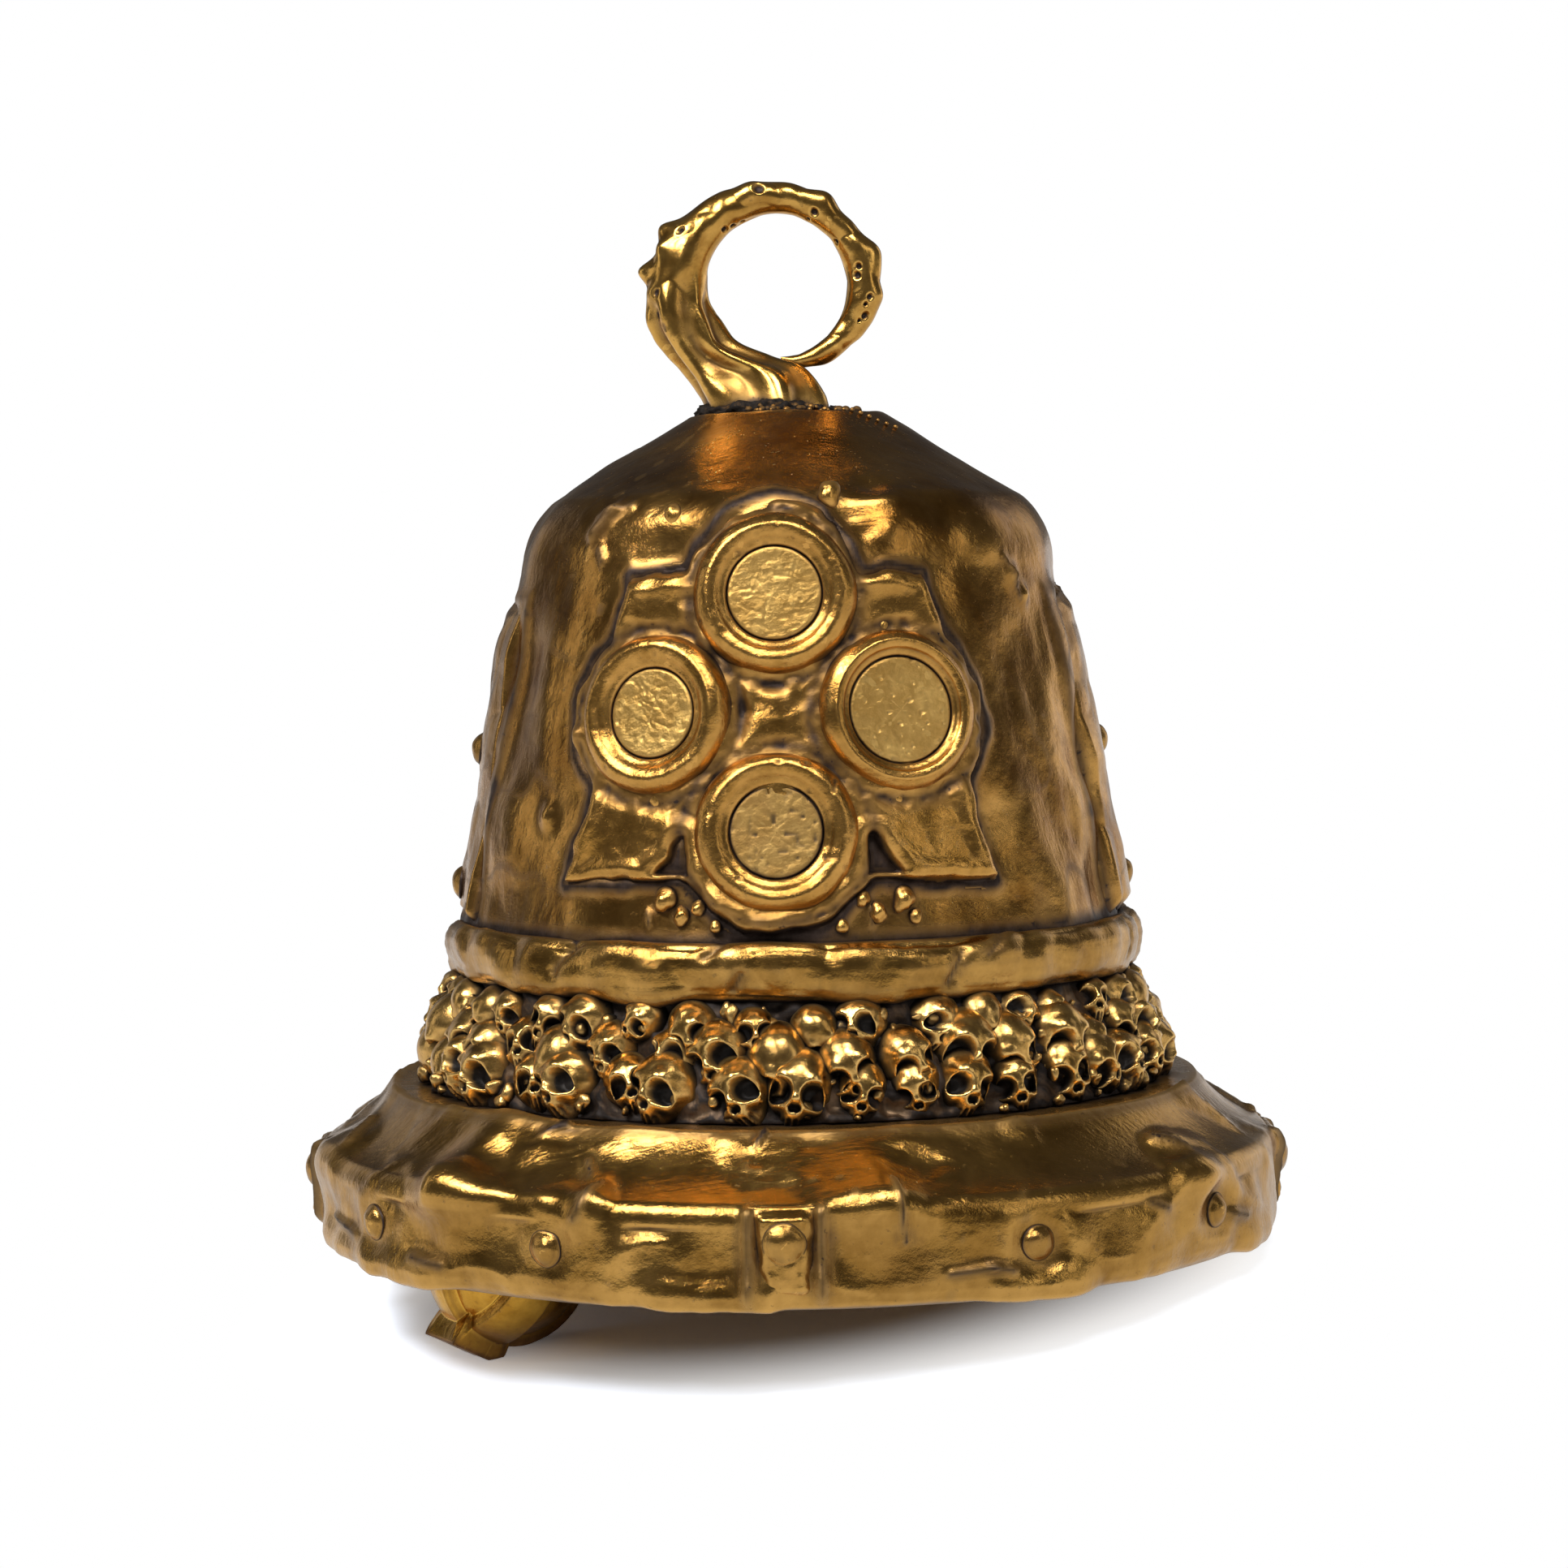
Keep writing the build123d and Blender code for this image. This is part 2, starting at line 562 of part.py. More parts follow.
with BuildPart() as clapper_head:
    with BuildSketch(Plane.XZ):
        with BuildLine():
            foot_z = ball_centre_z - foot_reach
            join_up = ball_centre_z + (ball_r**2 - collar_r**2) ** 0.5
            join_low = ball_centre_z - (ball_r**2 - foot_neck_r**2) ** 0.5
            Polyline((0, foot_z - foot_ball_r), (0, collar_z), (collar_r, collar_z), (collar_r, join_up))
            ThreePointArc(
                (collar_r, join_up), (ball_r, ball_centre_z), (foot_neck_r, join_low)
            )
            Line((foot_neck_r, join_low), (foot_ball_r, foot_z))
            ThreePointArc(
                (foot_ball_r, foot_z),
                (foot_ball_r * cos(radians(45)), foot_z - foot_ball_r * sin(radians(45))),
                (0, foot_z - foot_ball_r),
            )
        make_face()
    revolve(axis=Axis.Z)
    with BuildSketch(Plane.XY.offset(collar_z - tenon_depth - tenon_gap)):
        Circle(tenon_r + fit_gap)
    extrude(amount=tenon_depth + tenon_into_rod, mode=Mode.SUBTRACT)
    with BuildSketch(Plane.YZ.offset(-ball_r)):
        with Locations((0, tip_pin_z)):
            Circle(tip_pin_r + fit_gap)
    extrude(amount=2 * ball_r, mode=Mode.SUBTRACT)

with BuildPart() as clapper_pin:
    with BuildSketch(Plane.YZ.offset(-collar_r - tip_pin_overhang)):
        with Locations((0, tip_pin_z)):
            Circle(tip_pin_r)
    extrude(amount=2 * (collar_r + tip_pin_overhang))

# ---------------------------------------------------------------- stance on the table
pivot_axis = Axis((0, 0, pivot_z), (1, 0, 0))
foot_out = strike_r + foot_reach * sin(radians(swing))
foot_down = foot_reach * cos(radians(swing)) - ball_z
reach = hypot(heel_r + foot_out, foot_down)
tilt = degrees(atan2(foot_down, heel_r + foot_out) + asin(foot_ball_r / reach))
turn = radians(clapper_azimuth)
tilt_axis = Axis((0, 0, 0), (-cos(turn), -sin(turn), 0))

bell_pieces = {
    "bell_shell": bell_shell, "waist_band": waist_band, "frieze_strip": frieze_strip,
    "skulls_upper": skulls_upper, "skulls_lower": skulls_lower, "rim_hoop": rim_hoop,
    "rim_strap_front": rim_strap_front, "rim_strap_right": rim_strap_right,
    "rim_strap_back": rim_strap_back, "rim_strap_left": rim_strap_left,
    "rim_rivets": rim_rivets, "strap_rivets": strap_rivets,
    "side_plate_left": side_plate_left, "side_plate_right": side_plate_right, "side_rivets": side_rivets,
    "front_plate": front_plate, "ring_boss_left": ring_boss_left, "ring_boss_right": ring_boss_right,
    "ring_boss_top": ring_boss_top, "ring_boss_bottom": ring_boss_bottom, "disc_left": disc_left,
    "disc_right": disc_right, "disc_top": disc_top, "disc_bottom": disc_bottom,
    "crown_loop": crown_loop, "braze_bead": braze_bead, "hanger_washer": hanger_washer,
    "hanger_nut": hanger_nut, "hanger_screw": hanger_screw,
}
swivel_pieces = {"swivel_clevis": swivel_clevis, "swivel_pin": swivel_pin}
clapper_pieces = {"clapper_rod": clapper_rod, "clapper_head": clapper_head, "clapper_pin": clapper_pin}

placed = {name: piece.part for name, piece in bell_pieces.items()}
for name, piece in swivel_pieces.items():
    placed[name] = piece.part.rotate(Axis.Z, clapper_azimuth)
for name, piece in clapper_pieces.items():
    placed[name] = piece.part.rotate(pivot_axis, -swing).rotate(Axis.Z, clapper_azimuth)
tilted = {name: part.rotate(tilt_axis, tilt) for name, part in placed.items()}

boxes = [part.bounding_box() for part in tilted.values()]
low = [min(getattr(box.min, side) for box in boxes) for side in "XYZ"]
high = [max(getattr(box.max, side) for box in boxes) for side in "XYZ"]
stance = Pos(-(low[0] + high[0]) / 2, -(low[1] + high[1]) / 2, -low[2])

os.makedirs("parts", exist_ok=True)
for name, part in tilted.items():
    finished = stance * part
    finished.label = name
    export_step(finished, f"parts/{name}.step")
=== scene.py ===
"""Sanctus bell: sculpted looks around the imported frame.

Lengths are metres, or millimetres in the bell's own frame. That frame has +Z up the bell's axis, z = 0 at
the mouth and the decorated front towards -Y. It is found from the record's joints and mounts. Every sculpted
piece is made in it and then carried to the row's frame.
"""

import json
import math

import bmesh
import bpy
import numpy as np
from mathutils import Matrix, Vector


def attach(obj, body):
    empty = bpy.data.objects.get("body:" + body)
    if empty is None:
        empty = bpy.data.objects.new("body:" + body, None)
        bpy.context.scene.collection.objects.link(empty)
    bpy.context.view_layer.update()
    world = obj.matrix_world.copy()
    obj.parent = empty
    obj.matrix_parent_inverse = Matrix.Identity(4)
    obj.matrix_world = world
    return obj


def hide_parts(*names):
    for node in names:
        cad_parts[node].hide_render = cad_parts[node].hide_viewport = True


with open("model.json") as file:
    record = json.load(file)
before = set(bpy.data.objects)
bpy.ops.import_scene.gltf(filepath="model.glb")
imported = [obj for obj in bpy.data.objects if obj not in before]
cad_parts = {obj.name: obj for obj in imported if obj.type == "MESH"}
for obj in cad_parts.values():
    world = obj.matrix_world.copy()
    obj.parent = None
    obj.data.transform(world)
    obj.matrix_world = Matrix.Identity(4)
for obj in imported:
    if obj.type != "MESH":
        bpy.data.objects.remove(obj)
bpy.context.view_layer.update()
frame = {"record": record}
record = frame["record"]
MM = 0.001
TAU = 2 * math.pi

# ---------------- the bell's frame, from the record
mounts = {m["name"]: m for m in record["mounts"]}
joints = {j["name"]: j for j in record["behaviour"]["joints"]}
up = Vector(joints["swivel_turn"]["axis"]).normalized()
back = -Vector(mounts["loop_eye"]["axis"]).normalized()
right = back.cross(up).normalized()
mouth_centre = Vector(mounts["mouth_face"]["pos_m"])
TO_ROW = Matrix.Translation(mouth_centre) @ Matrix((right, back, up)).transposed().to_4x4()
TO_BELL = TO_ROW.inverted()


# ---------------- dimensions, in millimetres
CROWN_R, CROWN_Z, CROWN_FLOOR_Z = 10.0, 82.7, 79.7
SHOULDER = ((CROWN_R, CROWN_Z), (24.0, 74.1), (26.4, 70.7), (27.3, 66.8))
WAIST_TOP, WAIST_MID, WAIST_FOOT = (27.3, 66.8), (30.3, 49.0), (33.3, 31.8)
BAND_TOP_Z, BAND_LOW_Z, BAND_R = 31.8, 26.3, 35.3
GROUND_TOP_R, GROUND_LOW_R, GROUND_LOW_Z = 33.4, 37.6, 15.3
LIP_R, LIP_Z, LIP_BORE_R, LIP_EDGE_Z = 44.9, 7.2, 42.0, 0.5
NECK_R, WALL, CROWN_BORE_R = 30.4, 2.6, 3.05
FRIEZE_SEAT, HOOP_SEAT_R, HOOP_BORE_R = 1.22, GROUND_LOW_R - 1.18, LIP_R + 0.05
GROUND_THICKNESS, SKULL_DEPTH, GAP = 1.2, 1.3, 0.02
HOOP_LEDGE_R, HOOP_R, HOOP_RIDGE_Z, HEEL_R = 41.0, 48.8, 9.8, 46.9
EMBLEM_AZ, EMBLEM_Z, RING_R, RING_PITCH, RING_STEP = -2.5, 53.0, 7.8, 11.15, 22.2
DISCS = {"left": 4.3, "right": 5.1, "top": 4.5, "bottom": 4.4}
WAIST_PITCH = math.atan2(WAIST_FOOT[0] - WAIST_TOP[0], WAIST_TOP[1] - WAIST_FOOT[1])
GROUND_PITCH = math.atan2(GROUND_LOW_R - GROUND_TOP_R, BAND_LOW_Z - GROUND_LOW_Z)


# ---------------- numpy helpers
def smooth(edge0, edge1, x):
    t = np.clip((x - edge0) / (edge1 - edge0), 0, 1)
    return t * t * (3 - 2 * t)


def hump(x, width):
    """Bell curve: 1 where x is zero, falling off over the width."""
    return np.exp(-((x / width) ** 2))


def lattice(ix, iy, iz, seed):
    """Pseudo-random value from -1 to 1 for each whole-number lattice point."""
    h = (ix * 374761393 + iy * 668265263 + iz * 2147483647 + seed * 974711) & 0xFFFFFFFF
    h = ((h ^ (h >> 13)) * 1274126177) & 0xFFFFFFFF
    h = ((h ^ (h >> 16)) * 2246822519) & 0xFFFFFFFF
    return ((h ^ (h >> 15)) & 0xFFFF) / 32767.5 - 1


def noise(points, size, seed=0, octaves=1):
    """Smooth value noise of points, with features of the given size; about -1 to 1."""
    total, amount, scale = 0, 1.0, 1.0 / size
    for octave in range(octaves):
        p = np.asarray(points, float) * scale + 137.3 + 7.7 * seed
        cell = np.floor(p).astype(np.int64)
        f = p - cell
        f = f * f * f * (f * (f * 6 - 15) + 10)
        value = 0
        for dx in (0, 1):
            for dy in (0, 1):
                for dz in (0, 1):
                    weight = (
                        (f[..., 0] if dx else 1 - f[..., 0])
                        * (f[..., 1] if dy else 1 - f[..., 1])
                        * (f[..., 2] if dz else 1 - f[..., 2])
                    )
                    place = (cell[..., 0] + dx, cell[..., 1] + dy, cell[..., 2] + dz)
                    corner = lattice(*place, seed + 31 * octave)
                    value = value + weight * corner
        total = total + amount * value
        amount, scale = amount * 0.5, scale * 2.03
    return total


def creases(points, size, seed=0):
    """Noise with soft hollows and sharp ridges between them, like hammered metal: 0 to about 1."""
    return np.abs(noise(points, size, seed, 2))


def resample(points, step):
    """Points at equal steps along a polyline, given as a list of (r, z)."""
    points = np.asarray(points, float)
    run = np.concatenate([[0], np.cumsum(np.linalg.norm(np.diff(points, axis=0), axis=1))])
    count = max(2, int(round(run[-1] / step)) + 1)
    at = np.linspace(0, run[-1], count)
    return np.stack([np.interp(at, run, points[:, i]) for i in (0, 1)], 1)


def arc(a, b, c, count=24):
    """Points on the circle through a, b and c."""
    (ax, ay), (bx, by), (cx, cy) = a, b, c
    d = 2 * (ax * (by - cy) + bx * (cy - ay) + cx * (ay - by))
    a2, b2, c2 = ax * ax + ay * ay, bx * bx + by * by, cx * cx + cy * cy
    ux = (a2 * (by - cy) + b2 * (cy - ay) + c2 * (ay - by)) / d
    uy = (a2 * (cx - bx) + b2 * (ax - cx) + c2 * (bx - ax)) / d
    t0, t1, t2 = (math.atan2(y - uy, x - ux) for x, y in (a, b, c))
    sweep, middle = (t2 - t0) % TAU, (t1 - t0) % TAU
    if middle > sweep:
        sweep -= TAU
    r = math.hypot(ax - ux, ay - uy)
    return [(ux + r * math.cos(t0 + sweep * i / count), uy + r * math.sin(t0 + sweep * i / count))
            for i in range(count + 1)]


WAIST = np.array(arc(WAIST_TOP, WAIST_MID, WAIST_FOOT))


def waist_radius(z):
    """Radius of the bell's outside at a height, from the waist's foot up to the crown's edge."""
    line = [*SHOULDER[:3], *WAIST.tolist()]
    line = np.array(sorted(line, key=lambda p: p[1]))
    return np.interp(z, line[:, 1], line[:, 0])


def polar(azimuth, r, z):
    """Bell-frame points from azimuth (radians, 0 at the front, positive to the right), radius and height."""
    return np.stack([r * np.sin(azimuth), -r * np.cos(azimuth), z * np.ones_like(azimuth)], -1)


def girth(azimuth):
    """Points on one circle round the axis, for noise that changes with the azimuth only."""
    return polar(azimuth, 30.0, 0.0)


def arc_from(azimuth, degrees, r):
    """Distance round the surface, in millimetres, from an azimuth given in degrees."""
    return ((azimuth - math.radians(degrees) + math.pi) % TAU - math.pi) * r


def pitting(points, fine, broad, seed):
    """Small pits that come in patches."""
    return np.clip(noise(points, fine, seed) - 0.62, 0, 1) * np.clip(noise(points, broad, seed + 1), 0, 1)


# ---------------- meshes
def make_piece(name, verts, faces, body, material, replaces, grime_and_shade):
    """A smooth-shaded mesh from bell-frame millimetres, riding on a body, with grime and, in places, painted
    shade from 0 to 1.
    """
    mesh = bpy.data.meshes.new(name)
    row = np.asarray(verts, float).reshape(-1, 3) * MM
    matrix = np.array(TO_ROW)
    row = row @ matrix[:3, :3].T + matrix[:3, 3]
    faces = np.asarray(faces, np.int32)
    mesh.vertices.add(len(row))
    mesh.vertices.foreach_set("co", row.astype(np.float32).ravel())
    mesh.loops.add(faces.size)
    mesh.loops.foreach_set("vertex_index", faces.ravel())
    mesh.polygons.add(len(faces))
    mesh.polygons.foreach_set("loop_start", np.arange(0, faces.size, faces.shape[1], dtype=np.int32))
    mesh.update(calc_edges=True)
    mesh.validate()
    mesh.polygons.foreach_set("use_smooth", np.ones(len(mesh.polygons), bool))
    values = np.asarray(grime_and_shade, np.float32).ravel()
    mesh.attributes.new("grime_and_shade", "FLOAT", "POINT").data.foreach_set("value", values.clip(0, 1))
    piece = bpy.data.objects.new(name, mesh)
    bpy.context.scene.collection.objects.link(piece)
    piece.data.materials.append(material)
    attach(piece, body)
    for node in replaces:
        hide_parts(node)
    return piece


def grid_faces(rows, columns, wrap_rows=False, wrap_columns=True, flip=False):
    """Quads over a grid of rows by columns of points."""
    i = np.arange(rows if wrap_rows else rows - 1)[:, None]
    j = np.arange(columns if wrap_columns else columns - 1)[None, :]
    a, b = i * columns + j, i * columns + (j + 1) % columns
    c, d = ((i + 1) % rows) * columns + (j + 1) % columns, ((i + 1) % rows) * columns + j
    quads = np.stack(np.broadcast_arrays(a, b, c, d), -1).reshape(-1, 4)
    return quads[:, ::-1] if flip else quads


def triangles(quads):
    """Two triangles for each quad."""
    return np.concatenate([quads[:, [0, 1, 2]], quads[:, [0, 2, 3]]])


def make_grid_piece(name, grid, grime_and_shade, material, node, wrap_rows=True):
    """A piece riding on the bell, from a grid of points, in place of one CAD node."""
    faces = grid_faces(*grid.shape[:2], wrap_rows=wrap_rows)
    return make_piece(name, grid, faces, "bell", material, [node], grime_and_shade)


def front_dense(count, bias=0.42):
    """Azimuths right round, closer together at the front."""
    u = np.linspace(-math.pi, math.pi, count, endpoint=False)
    return u - bias * np.sin(u)


def revolve(profile, azimuths, relief):
    """Grid of a closed profile swept round the axis, and its grime.

    relief(azimuth, r, z, normal_r, normal_z) gives how far each point moves along its normal, and the grime.
    """
    profile = np.asarray(profile, float)
    ahead, behind = np.roll(profile, -1, 0), np.roll(profile, 1, 0)
    tangent = ahead - behind
    normal = np.stack([-tangent[:, 1], tangent[:, 0]], 1)
    normal /= np.linalg.norm(normal, axis=1)[:, None] + 1e-12
    az, r = np.meshgrid(azimuths, profile[:, 0])
    z = np.meshgrid(azimuths, profile[:, 1])[1]
    nr, nz = normal[:, :1], normal[:, 1:]
    lift, grime_and_shade = relief(az, r, z, nr, nz)
    r, z = r + nr * lift, z + nz * lift
    return polar(az, r, z), grime_and_shade


def merge(parts):
    """One vertex, face and grime-and-shade list from several, all with quads or all with triangles."""
    verts, faces, grimes, start = [], [], [], 0
    for v, f, g in parts:
        v = np.asarray(v).reshape(-1, 3)
        verts.append(v)
        faces.append(np.asarray(f) + start)
        g = np.ravel(np.asarray(g, float))
        grimes.append(np.broadcast_to(g, (len(v),)) if g.size == 1 else g)
        start += len(v)
    return np.concatenate(verts), np.concatenate(faces), np.concatenate(grimes)


def line_distance(az, z, r, start, end):
    """Millimetres on the surface from a line between two (azimuth in degrees, height) points."""
    u, v = az * r, z
    (a0, z0), (a1, z1) = start, end
    x0, x1 = math.radians(a0) * r, math.radians(a1) * r
    dx, dz = x1 - x0, z1 - z0
    t = np.clip(((u - x0) * dx + (v - z0) * dz) / (dx * dx + dz * dz + 1e-9), 0, 1)
    return np.hypot(u - x0 - t * dx, v - z0 - t * dz)


# ---------------- relief of the casting's skin
# Dents: azimuth in degrees, height, size along each, depth (below zero is a bump).
SKIN_DENTS = (
    (-48.5, 43.2, 1.1, 1.3, 0.5), (-50, 50, 3, 4, 0.35), (-40, 48, 3.5, 2.5, 0.3), (-55, 58, 3, 6, 0.35),
    (21, 74.7, 1.7, 0.8, -0.45), (21, 73.2, 2.4, 0.7, 0.25), (52, 66, 0.9, 1.1, 0.6),
    (56, 64, 0.8, 1.0, 0.5), (48, 41, 4, 5, 0.4), (60, 50, 4, 7, 0.45), (38, 45, 3, 3, 0.25),
    (-62, 40, 4, 5, 0.4), (33, 68, 4, 2.5, -0.2), (-30, 69, 5, 2.2, -0.3), (14, 71.5, 2.2, 1.5, -0.4),
    (-14, 72.5, 2.5, 1.6, 0.35), (36, 72, 3, 2, -0.35), (70, 57, 3, 9, 0.45), (-72, 52, 3, 9, 0.45),
    (40, 58, 3, 4, 0.3), (-36, 38, 3, 2, 0.3), (130, 50, 5, 6, 0.5), (160, 42, 4, 5, 0.45),
    (-160, 58, 5, 5, 0.5), (-130, 46, 4, 7, 0.45), (178, 62, 6, 3, 0.35), (145, 66, 4, 3, 0.3),
    (-145, 68, 5, 2.5, 0.35), (-175, 40, 4, 4, 0.35), (118, 40, 3, 5, 0.4), (-112, 60, 3, 5, 0.4),
)
# Cuts: start and end as (azimuth in degrees, height), width, depth.
SKIN_CUTS = (
    ((-44, 70.3), (-40.5, 72.6), 0.75, 0.9), ((-44.5, 72.0), (-36, 73.0), 0.35, 0.4),
    ((-41.5, 69), (-40, 67.6), 0.35, 0.4), ((50, 67.6), (54, 63.6), 0.3, 0.35),
    ((-24, 33.4), (-24.5, 34.6), 0.25, 0.4), ((13, 33.2), (13, 34.8), 0.25, 0.4),
    ((120, 70), (127, 64), 0.35, 0.45), ((-150, 52), (-143, 55), 0.3, 0.4),
    ((170, 36), (176, 39), 0.3, 0.35),
)
PLATE_EDGES = (-92.0, 92.0)
PLATE_HALF_WIDTH, PLATE_MIDDLE_Z, PLATE_HALF_HEIGHT = 12.25, 48.2, 16.0


def gaussian_marks(az, z, r, marks):
    """Depth of round marks."""
    depth = np.zeros_like(az)
    for a, height, wide, tall, deep in marks:
        across = arc_from(az, a, r) / wide
        depth += deep * np.exp(-(across**2 + ((z - height) / tall) ** 2))
    return depth


def cut_marks(az, z, r, cuts):
    """Depth of thin cuts, and a mask of them."""
    depth, mask = np.zeros_like(az), np.zeros_like(az)
    for start, end, wide, deep in cuts:
        near = hump(line_distance(az, z, r, start, end), wide)
        depth += deep * near
        mask = np.maximum(mask, near)
    return depth, mask


def skin_relief(az, z, r):
    """Height of the cast skin over its smooth form, and its grime, outside the bell."""
    p = polar(az, r, z)
    facets = creases(p, 9.0, 3)
    height = 0.26 * noise(p, 15.0, 1, 2) + 0.5 * noise(p, 7.6, 6) + 0.12 * (facets - 0.35)
    height = height + 0.07 * noise(p, 3.4, 4, 2)
    height += 0.014 * noise(p, 0.8, 5)
    sides = smooth(0.55, 0.95, np.abs(np.sin(az))) * smooth(68, 60, z)
    runs = noise(p * np.array([1.0, 1.0, 0.28]), 3.6, 9, 2)
    height += sides * 0.24 * runs
    height -= 1.35 * gaussian_marks(az, z, r, SKIN_DENTS)
    cuts, mask = cut_marks(az, z, r, SKIN_CUTS)
    pits = pitting(p, 1.1, 7.0, 12)
    height -= cuts + 0.5 * pits
    calm = smooth(CROWN_R, CROWN_R + 5, r)
    grime_and_shade = 0.85 * mask + 2.2 * pits + 0.5 * smooth(0.12, 0.0, facets) * sides
    return height * (0.55 + 0.45 * calm * smooth(76, 70, z)), grime_and_shade


# ---------------- materials
def brass(name, bright, mid, dark, rough, patina=1.0, mottle=240.0, crevice_and_shade_reach=0.0022, bump=0.25, scratch=0.3):
    """Aged brass: polished high spots, olive-brown middles and dark crevices, partly painted shade.

    rough is its least and most roughness, patina how dirty it is, mottle the scale of its blotches,
    crevice_and_shade_reach how near in metres another surface counts as a crevice, darkened as patina and, at
    a long reach, as painted shade, and bump and scratch the depth of its fine marks.
    """
    material = bpy.data.materials.new(name)
    material.use_nodes = True
    nodes, links = material.node_tree.nodes, material.node_tree.links
    nodes.clear()

    def node(kind, **values):
        made = nodes.new(kind)
        for key, value in values.items():
            if key in made.inputs:
                made.inputs[key].default_value = value
            else:
                setattr(made, key, value)
        return made

    def ramp(source, *stops):
        made = node("ShaderNodeValToRGB")
        while len(made.color_ramp.elements) < len(stops):
            made.color_ramp.elements.new(0.5)
        for element, (place, value) in zip(made.color_ramp.elements, stops):
            element.position, element.color = place, (value, value, value, 1)
        links.new(source, made.inputs["Fac"])
        return made.outputs["Color"]

    def mix(factor, a, b):
        made = nodes.new("ShaderNodeMix")
        made.data_type = "RGBA"
        links.new(factor, made.inputs[0])
        for socket, value in ((made.inputs[6], a), (made.inputs[7], b)):
            if isinstance(value, tuple):
                socket.default_value = (*value, 1)
            else:
                links.new(value, socket)
        return made.outputs[2]

    def maths(kind, a, b):
        made = nodes.new("ShaderNodeMath")
        made.operation, made.use_clamp = kind, True
        for socket, value in ((made.inputs[0], a), (made.inputs[1], b)):
            if hasattr(value, "is_output"):
                links.new(value, socket)
            else:
                socket.default_value = value
        return made.outputs[0]

    def grain(scale, detail=4.0, roughness=0.6, stretch=None):
        place = node("ShaderNodeTexCoord").outputs["Object"]
        if stretch:
            turn = node("ShaderNodeMapping")
            turn.inputs["Scale"].default_value = stretch
            turn.inputs["Rotation"].default_value = (0.6, 0.35, 0.9)
            links.new(place, turn.inputs["Vector"])
            place = turn.outputs["Vector"]
        made = node("ShaderNodeTexNoise", Scale=scale, Detail=detail, Roughness=roughness)
        links.new(place, made.inputs["Vector"])
        return made.outputs["Fac"]

    shader = node("ShaderNodeBsdfPrincipled")
    out = node("ShaderNodeOutputMaterial")
    links.new(shader.outputs["BSDF"], out.inputs["Surface"])
    blotches = ramp(grain(mottle, 6.0, 0.65), (0.34, 0.0), (0.66, 1.0))
    broad = ramp(grain(mottle * 0.22, 3.0), (0.38, 0.0), (0.62, 1.0))
    metal = mix(blotches, mid, bright)
    metal = mix(maths("MULTIPLY", broad, 0.45), metal, mid)
    pointed = node("ShaderNodeNewGeometry").outputs["Pointiness"]
    metal = mix(ramp(pointed, (0.502, 0.0), (0.54, 0.85)), metal, bright)
    hollow = ramp(pointed, (0.455, 1.0), (0.495, 0.0))
    # Ambient occlusion darkens crevices: patina, and at a long reach painted shade under overhangs.
    shade = node("ShaderNodeAmbientOcclusion", Distance=crevice_and_shade_reach, samples=6)
    crevice = ramp(shade.outputs["AO"], (0.28, 1.0), (0.82, 0.0))
    # The grime attribute brings dirt and, in the skulls' hollows, painted shade.
    stain = node("ShaderNodeAttribute", attribute_name="grime_and_shade")
    speck = ramp(grain(1500.0, 2.0), (0.26, 1.0), (0.34, 0.0))
    dirt_and_shade = maths("ADD", maths("MULTIPLY", crevice, patina), maths("MULTIPLY", hollow, 0.55 * patina))
    dirt_and_shade = maths("ADD", dirt_and_shade, maths("ADD", stain.outputs["Fac"], maths("MULTIPLY", speck, 0.3 * patina)))
    lighter = tuple(min(1, 1.9 * c + 0.012) for c in dark)
    brown = mix(ramp(grain(700.0), (0.4, 0.0), (0.65, 1.0)), dark, lighter)
    links.new(mix(dirt_and_shade, metal, brown), shader.inputs["Base Color"])
    links.new(maths("SUBTRACT", 1.0, maths("MULTIPLY", dirt_and_shade, 0.42)), shader.inputs["Metallic"])
    worn = node("ShaderNodeMapRange")
    worn.inputs["To Min"].default_value, worn.inputs["To Max"].default_value = rough
    links.new(grain(mottle * 2.6, 5.0, 0.7), worn.inputs["Value"])
    links.new(maths("ADD", worn.outputs["Result"], maths("MULTIPLY", dirt_and_shade, 0.3)), shader.inputs["Roughness"])
    fine = maths("ADD", maths("MULTIPLY", grain(1300.0, 5.0, 0.7), 0.5),
                 maths("MULTIPLY", grain(900.0, 2.0, 0.5, (0.25, 2.4, 1.0)), scratch))
    relief = node("ShaderNodeBump", Strength=bump, Distance=0.00035)
    links.new(fine, relief.inputs["Height"])
    links.new(relief.outputs["Normal"], shader.inputs["Normal"])
    return material


BRIGHT, MID, DARK = (0.68, 0.37, 0.10), (0.27, 0.122, 0.024), (0.024, 0.012, 0.007)
cast = brass("cast_brass", BRIGHT, MID, DARK, (0.14, 0.29), mottle=150, bump=0.26, scratch=0.4)
rim_cast = brass("rim_brass", (0.76, 0.43, 0.115), (0.35, 0.178, 0.038), DARK, (0.12, 0.27), mottle=140,
                 bump=0.32, scratch=0.4)
ground_dark = brass("dark_brass", (0.38, 0.24, 0.13), (0.10, 0.056, 0.034), (0.014, 0.009, 0.007),
                    (0.2, 0.48), patina=1.2, mottle=600, crevice_and_shade_reach=0.0018)
ring_brass = brass("ring_brass", (0.80, 0.43, 0.11), (0.42, 0.21, 0.044), DARK, (0.16, 0.33), mottle=330,
                   bump=0.35, scratch=0.5)
disc_brass = brass("disc_brass", (1.0, 0.63, 0.19), (0.68, 0.38, 0.095), DARK, (0.26, 0.46), patina=0.5,
                   mottle=420, crevice_and_shade_reach=0.0012, bump=0.5, scratch=0.5)
